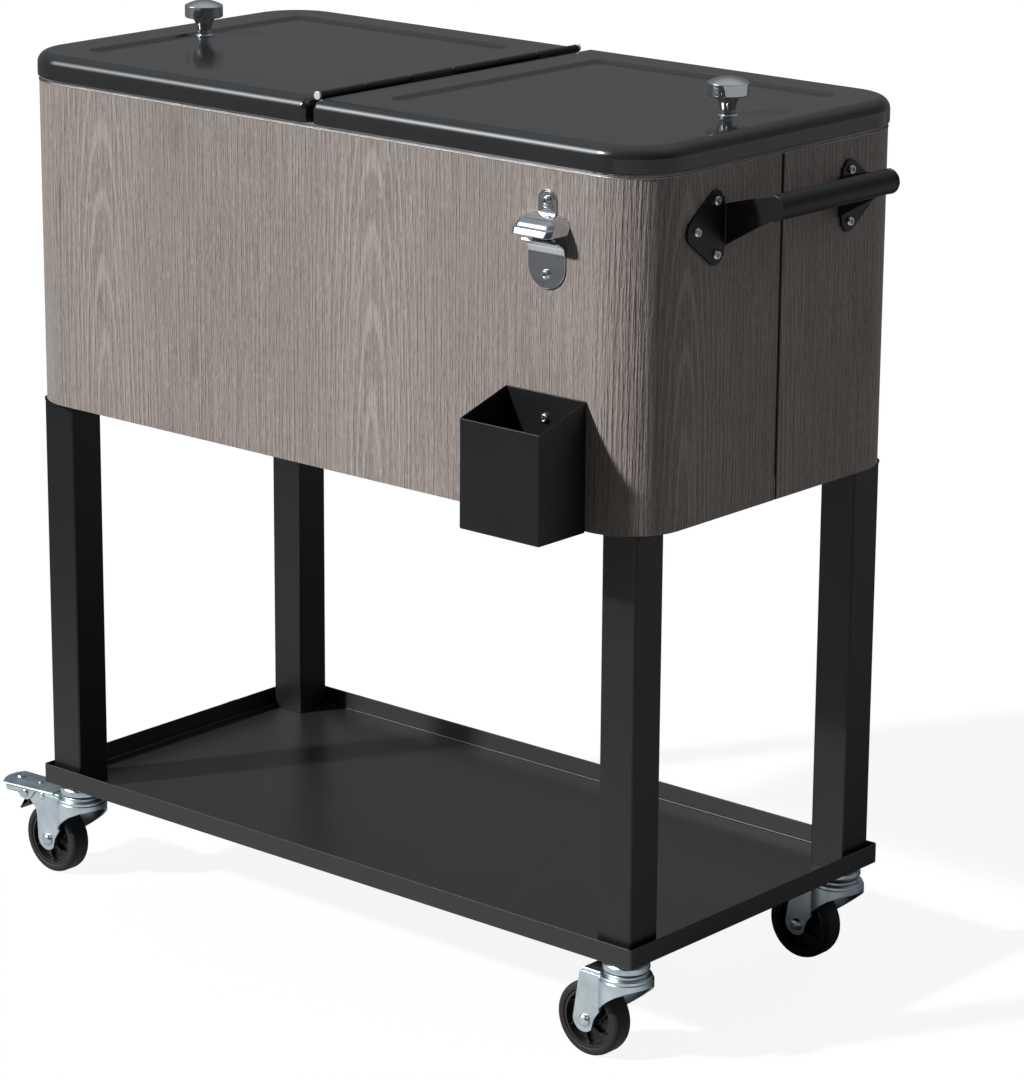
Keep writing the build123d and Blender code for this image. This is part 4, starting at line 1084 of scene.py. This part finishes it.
def floor():
    """A pale floor: a dull sheet that keeps the shadow, and a glow that makes it white to the
    camera. In metal it is bright near the cooler's front, dim on the right, and dark elsewhere."""
    mesh = bpy.data.meshes.new("floor")
    reach = 30.0
    corners = [(-reach, -reach, 0), (reach, -reach, 0), (reach, reach, 0), (-reach, reach, 0)]
    mesh.from_pydata(corners, [], [(0, 1, 2, 3)])
    plane = bpy.data.objects.new("floor", mesh)
    bpy.context.scene.collection.objects.link(plane)
    material = bpy.data.materials.new("floor")
    material.use_nodes = True
    material.node_tree.nodes.clear()
    light = Light(material.node_tree, "ShaderNodeEmission")
    away = light.node("ShaderNodeVectorMath", {"operation": "LENGTH"}, {0: light.place})
    near = 1 - light.step(Field(light, away.outputs["Value"]), 0.9, 1.6)
    front = light.step(light.toward((0.0, -1.0, 0.0)), -0.1, 0.3)
    right = light.step(light.toward((1.0, 0.0, 0.0)), 0.4, 0.9)
    glow = light.glow(WHITE, 0.90, 0.01 + 0.62 * front * near + 0.18 * right, 0.0)
    dull = {"Base Color": (0.14, 0.14, 0.14), "Roughness": 0.9, "Specular IOR Level": 0.1}
    sheet = light.node("ShaderNodeBsdfPrincipled", {}, dull).outputs[0]
    both = light.node("ShaderNodeAddShader", {}, {0: sheet, 1: glow}).outputs[0]
    light.node("ShaderNodeOutputMaterial", {}, {"Surface": both})
    mesh.materials.append(material)


def sun(name, side, energy, angle, colour, mirrored):
    """A sun lamp that shines from a side, and may show in glossy surfaces."""
    lamp = bpy.data.lights.new(name, "SUN")
    lamp.energy, lamp.angle, lamp.color = energy, np.radians(angle), colour
    holder = bpy.data.objects.new(name, lamp)
    holder.visible_glossy = mirrored
    holder.rotation_mode = "QUATERNION"
    holder.rotation_quaternion = Vector(side).to_track_quat("Z", "Y")
    bpy.context.scene.collection.objects.link(holder)


def studio():
    """Plain studio light: a key from the front left, soft lamps from the right and from behind,
    and a room that is white to the camera. In metal the room is grey, paler overhead and dimmer
    on the camera's side, with a bright screen at the front left and a glow round the key."""
    world = bpy.data.worlds.new("studio")
    bpy.context.scene.world = world
    world.use_nodes = True
    world.node_tree.nodes.clear()
    room = Light(world.node_tree, "ShaderNodeBackground")
    sky = 0.17 + 0.25 * room.step(room.toward((0.0, 0.0, 1.0)), 0.35, 0.9)
    dim = 1 - 0.65 * room.step(room.toward(CAMERA_SIDE), 0.1, 0.85)
    screen = 2.4 * room.step(room.toward(SCREEN_SIDE), 0.94, 0.99)
    screen = screen + 5.0 * room.step(room.toward(SCREEN_SIDE), 0.985, 0.999)
    screen = screen + 1.0 * room.step(room.toward(KEY_SIDE), 0.93, 0.99)
    glow = room.glow((0.90, 0.95, 1.0), 1.0, sky * dim + screen, 0.024)
    room.node("ShaderNodeOutputWorld", {}, {"Surface": glow})
    sun("key", KEY_SIDE, 3.6, 3.5, WHITE, True)
    sun("fill", FILL_SIDE, 0.30, 60, (0.93, 0.96, 1.0), False)
    sun("back", BACK_SIDE, 0.75, 60, (0.97, 0.98, 1.0), False)


def camera():
    """The photograph's view: a place, a heading, a downward pitch and a small roll, and a focal
    length that was fitted in pixels of the photograph."""
    place, focal, photo_height = (2.61770, -2.91608, 1.53955), 4110.557, 1080
    heading, pitch, roll = 0.7101393, 0.2803964, 0.0070708
    forward = np.array(
        [-np.sin(heading) * np.cos(pitch), np.cos(heading) * np.cos(pitch), -np.sin(pitch)]
    )
    right = np.array([np.cos(heading), np.sin(heading), 0])
    up = np.cross(right, forward)
    right, up = (
        np.cos(roll) * right + np.sin(roll) * up,
        np.cos(roll) * up - np.sin(roll) * right,
    )
    view = bpy.data.cameras.new("view")
    view.sensor_fit, view.sensor_height = "VERTICAL", 36
    view.lens = focal * view.sensor_height / photo_height
    view.clip_end = 100
    seat = bpy.data.objects.new("view", view)
    turn = np.eye(4)
    turn[:3, :3] = np.column_stack([right, up, -forward])
    turn[:3, 3] = place
    seat.matrix_world = Matrix(turn.tolist())
    bpy.context.scene.collection.objects.link(seat)
    bpy.context.scene.camera = seat


floor()
studio()
camera()
bpy.context.scene.view_settings.view_transform = "Standard"
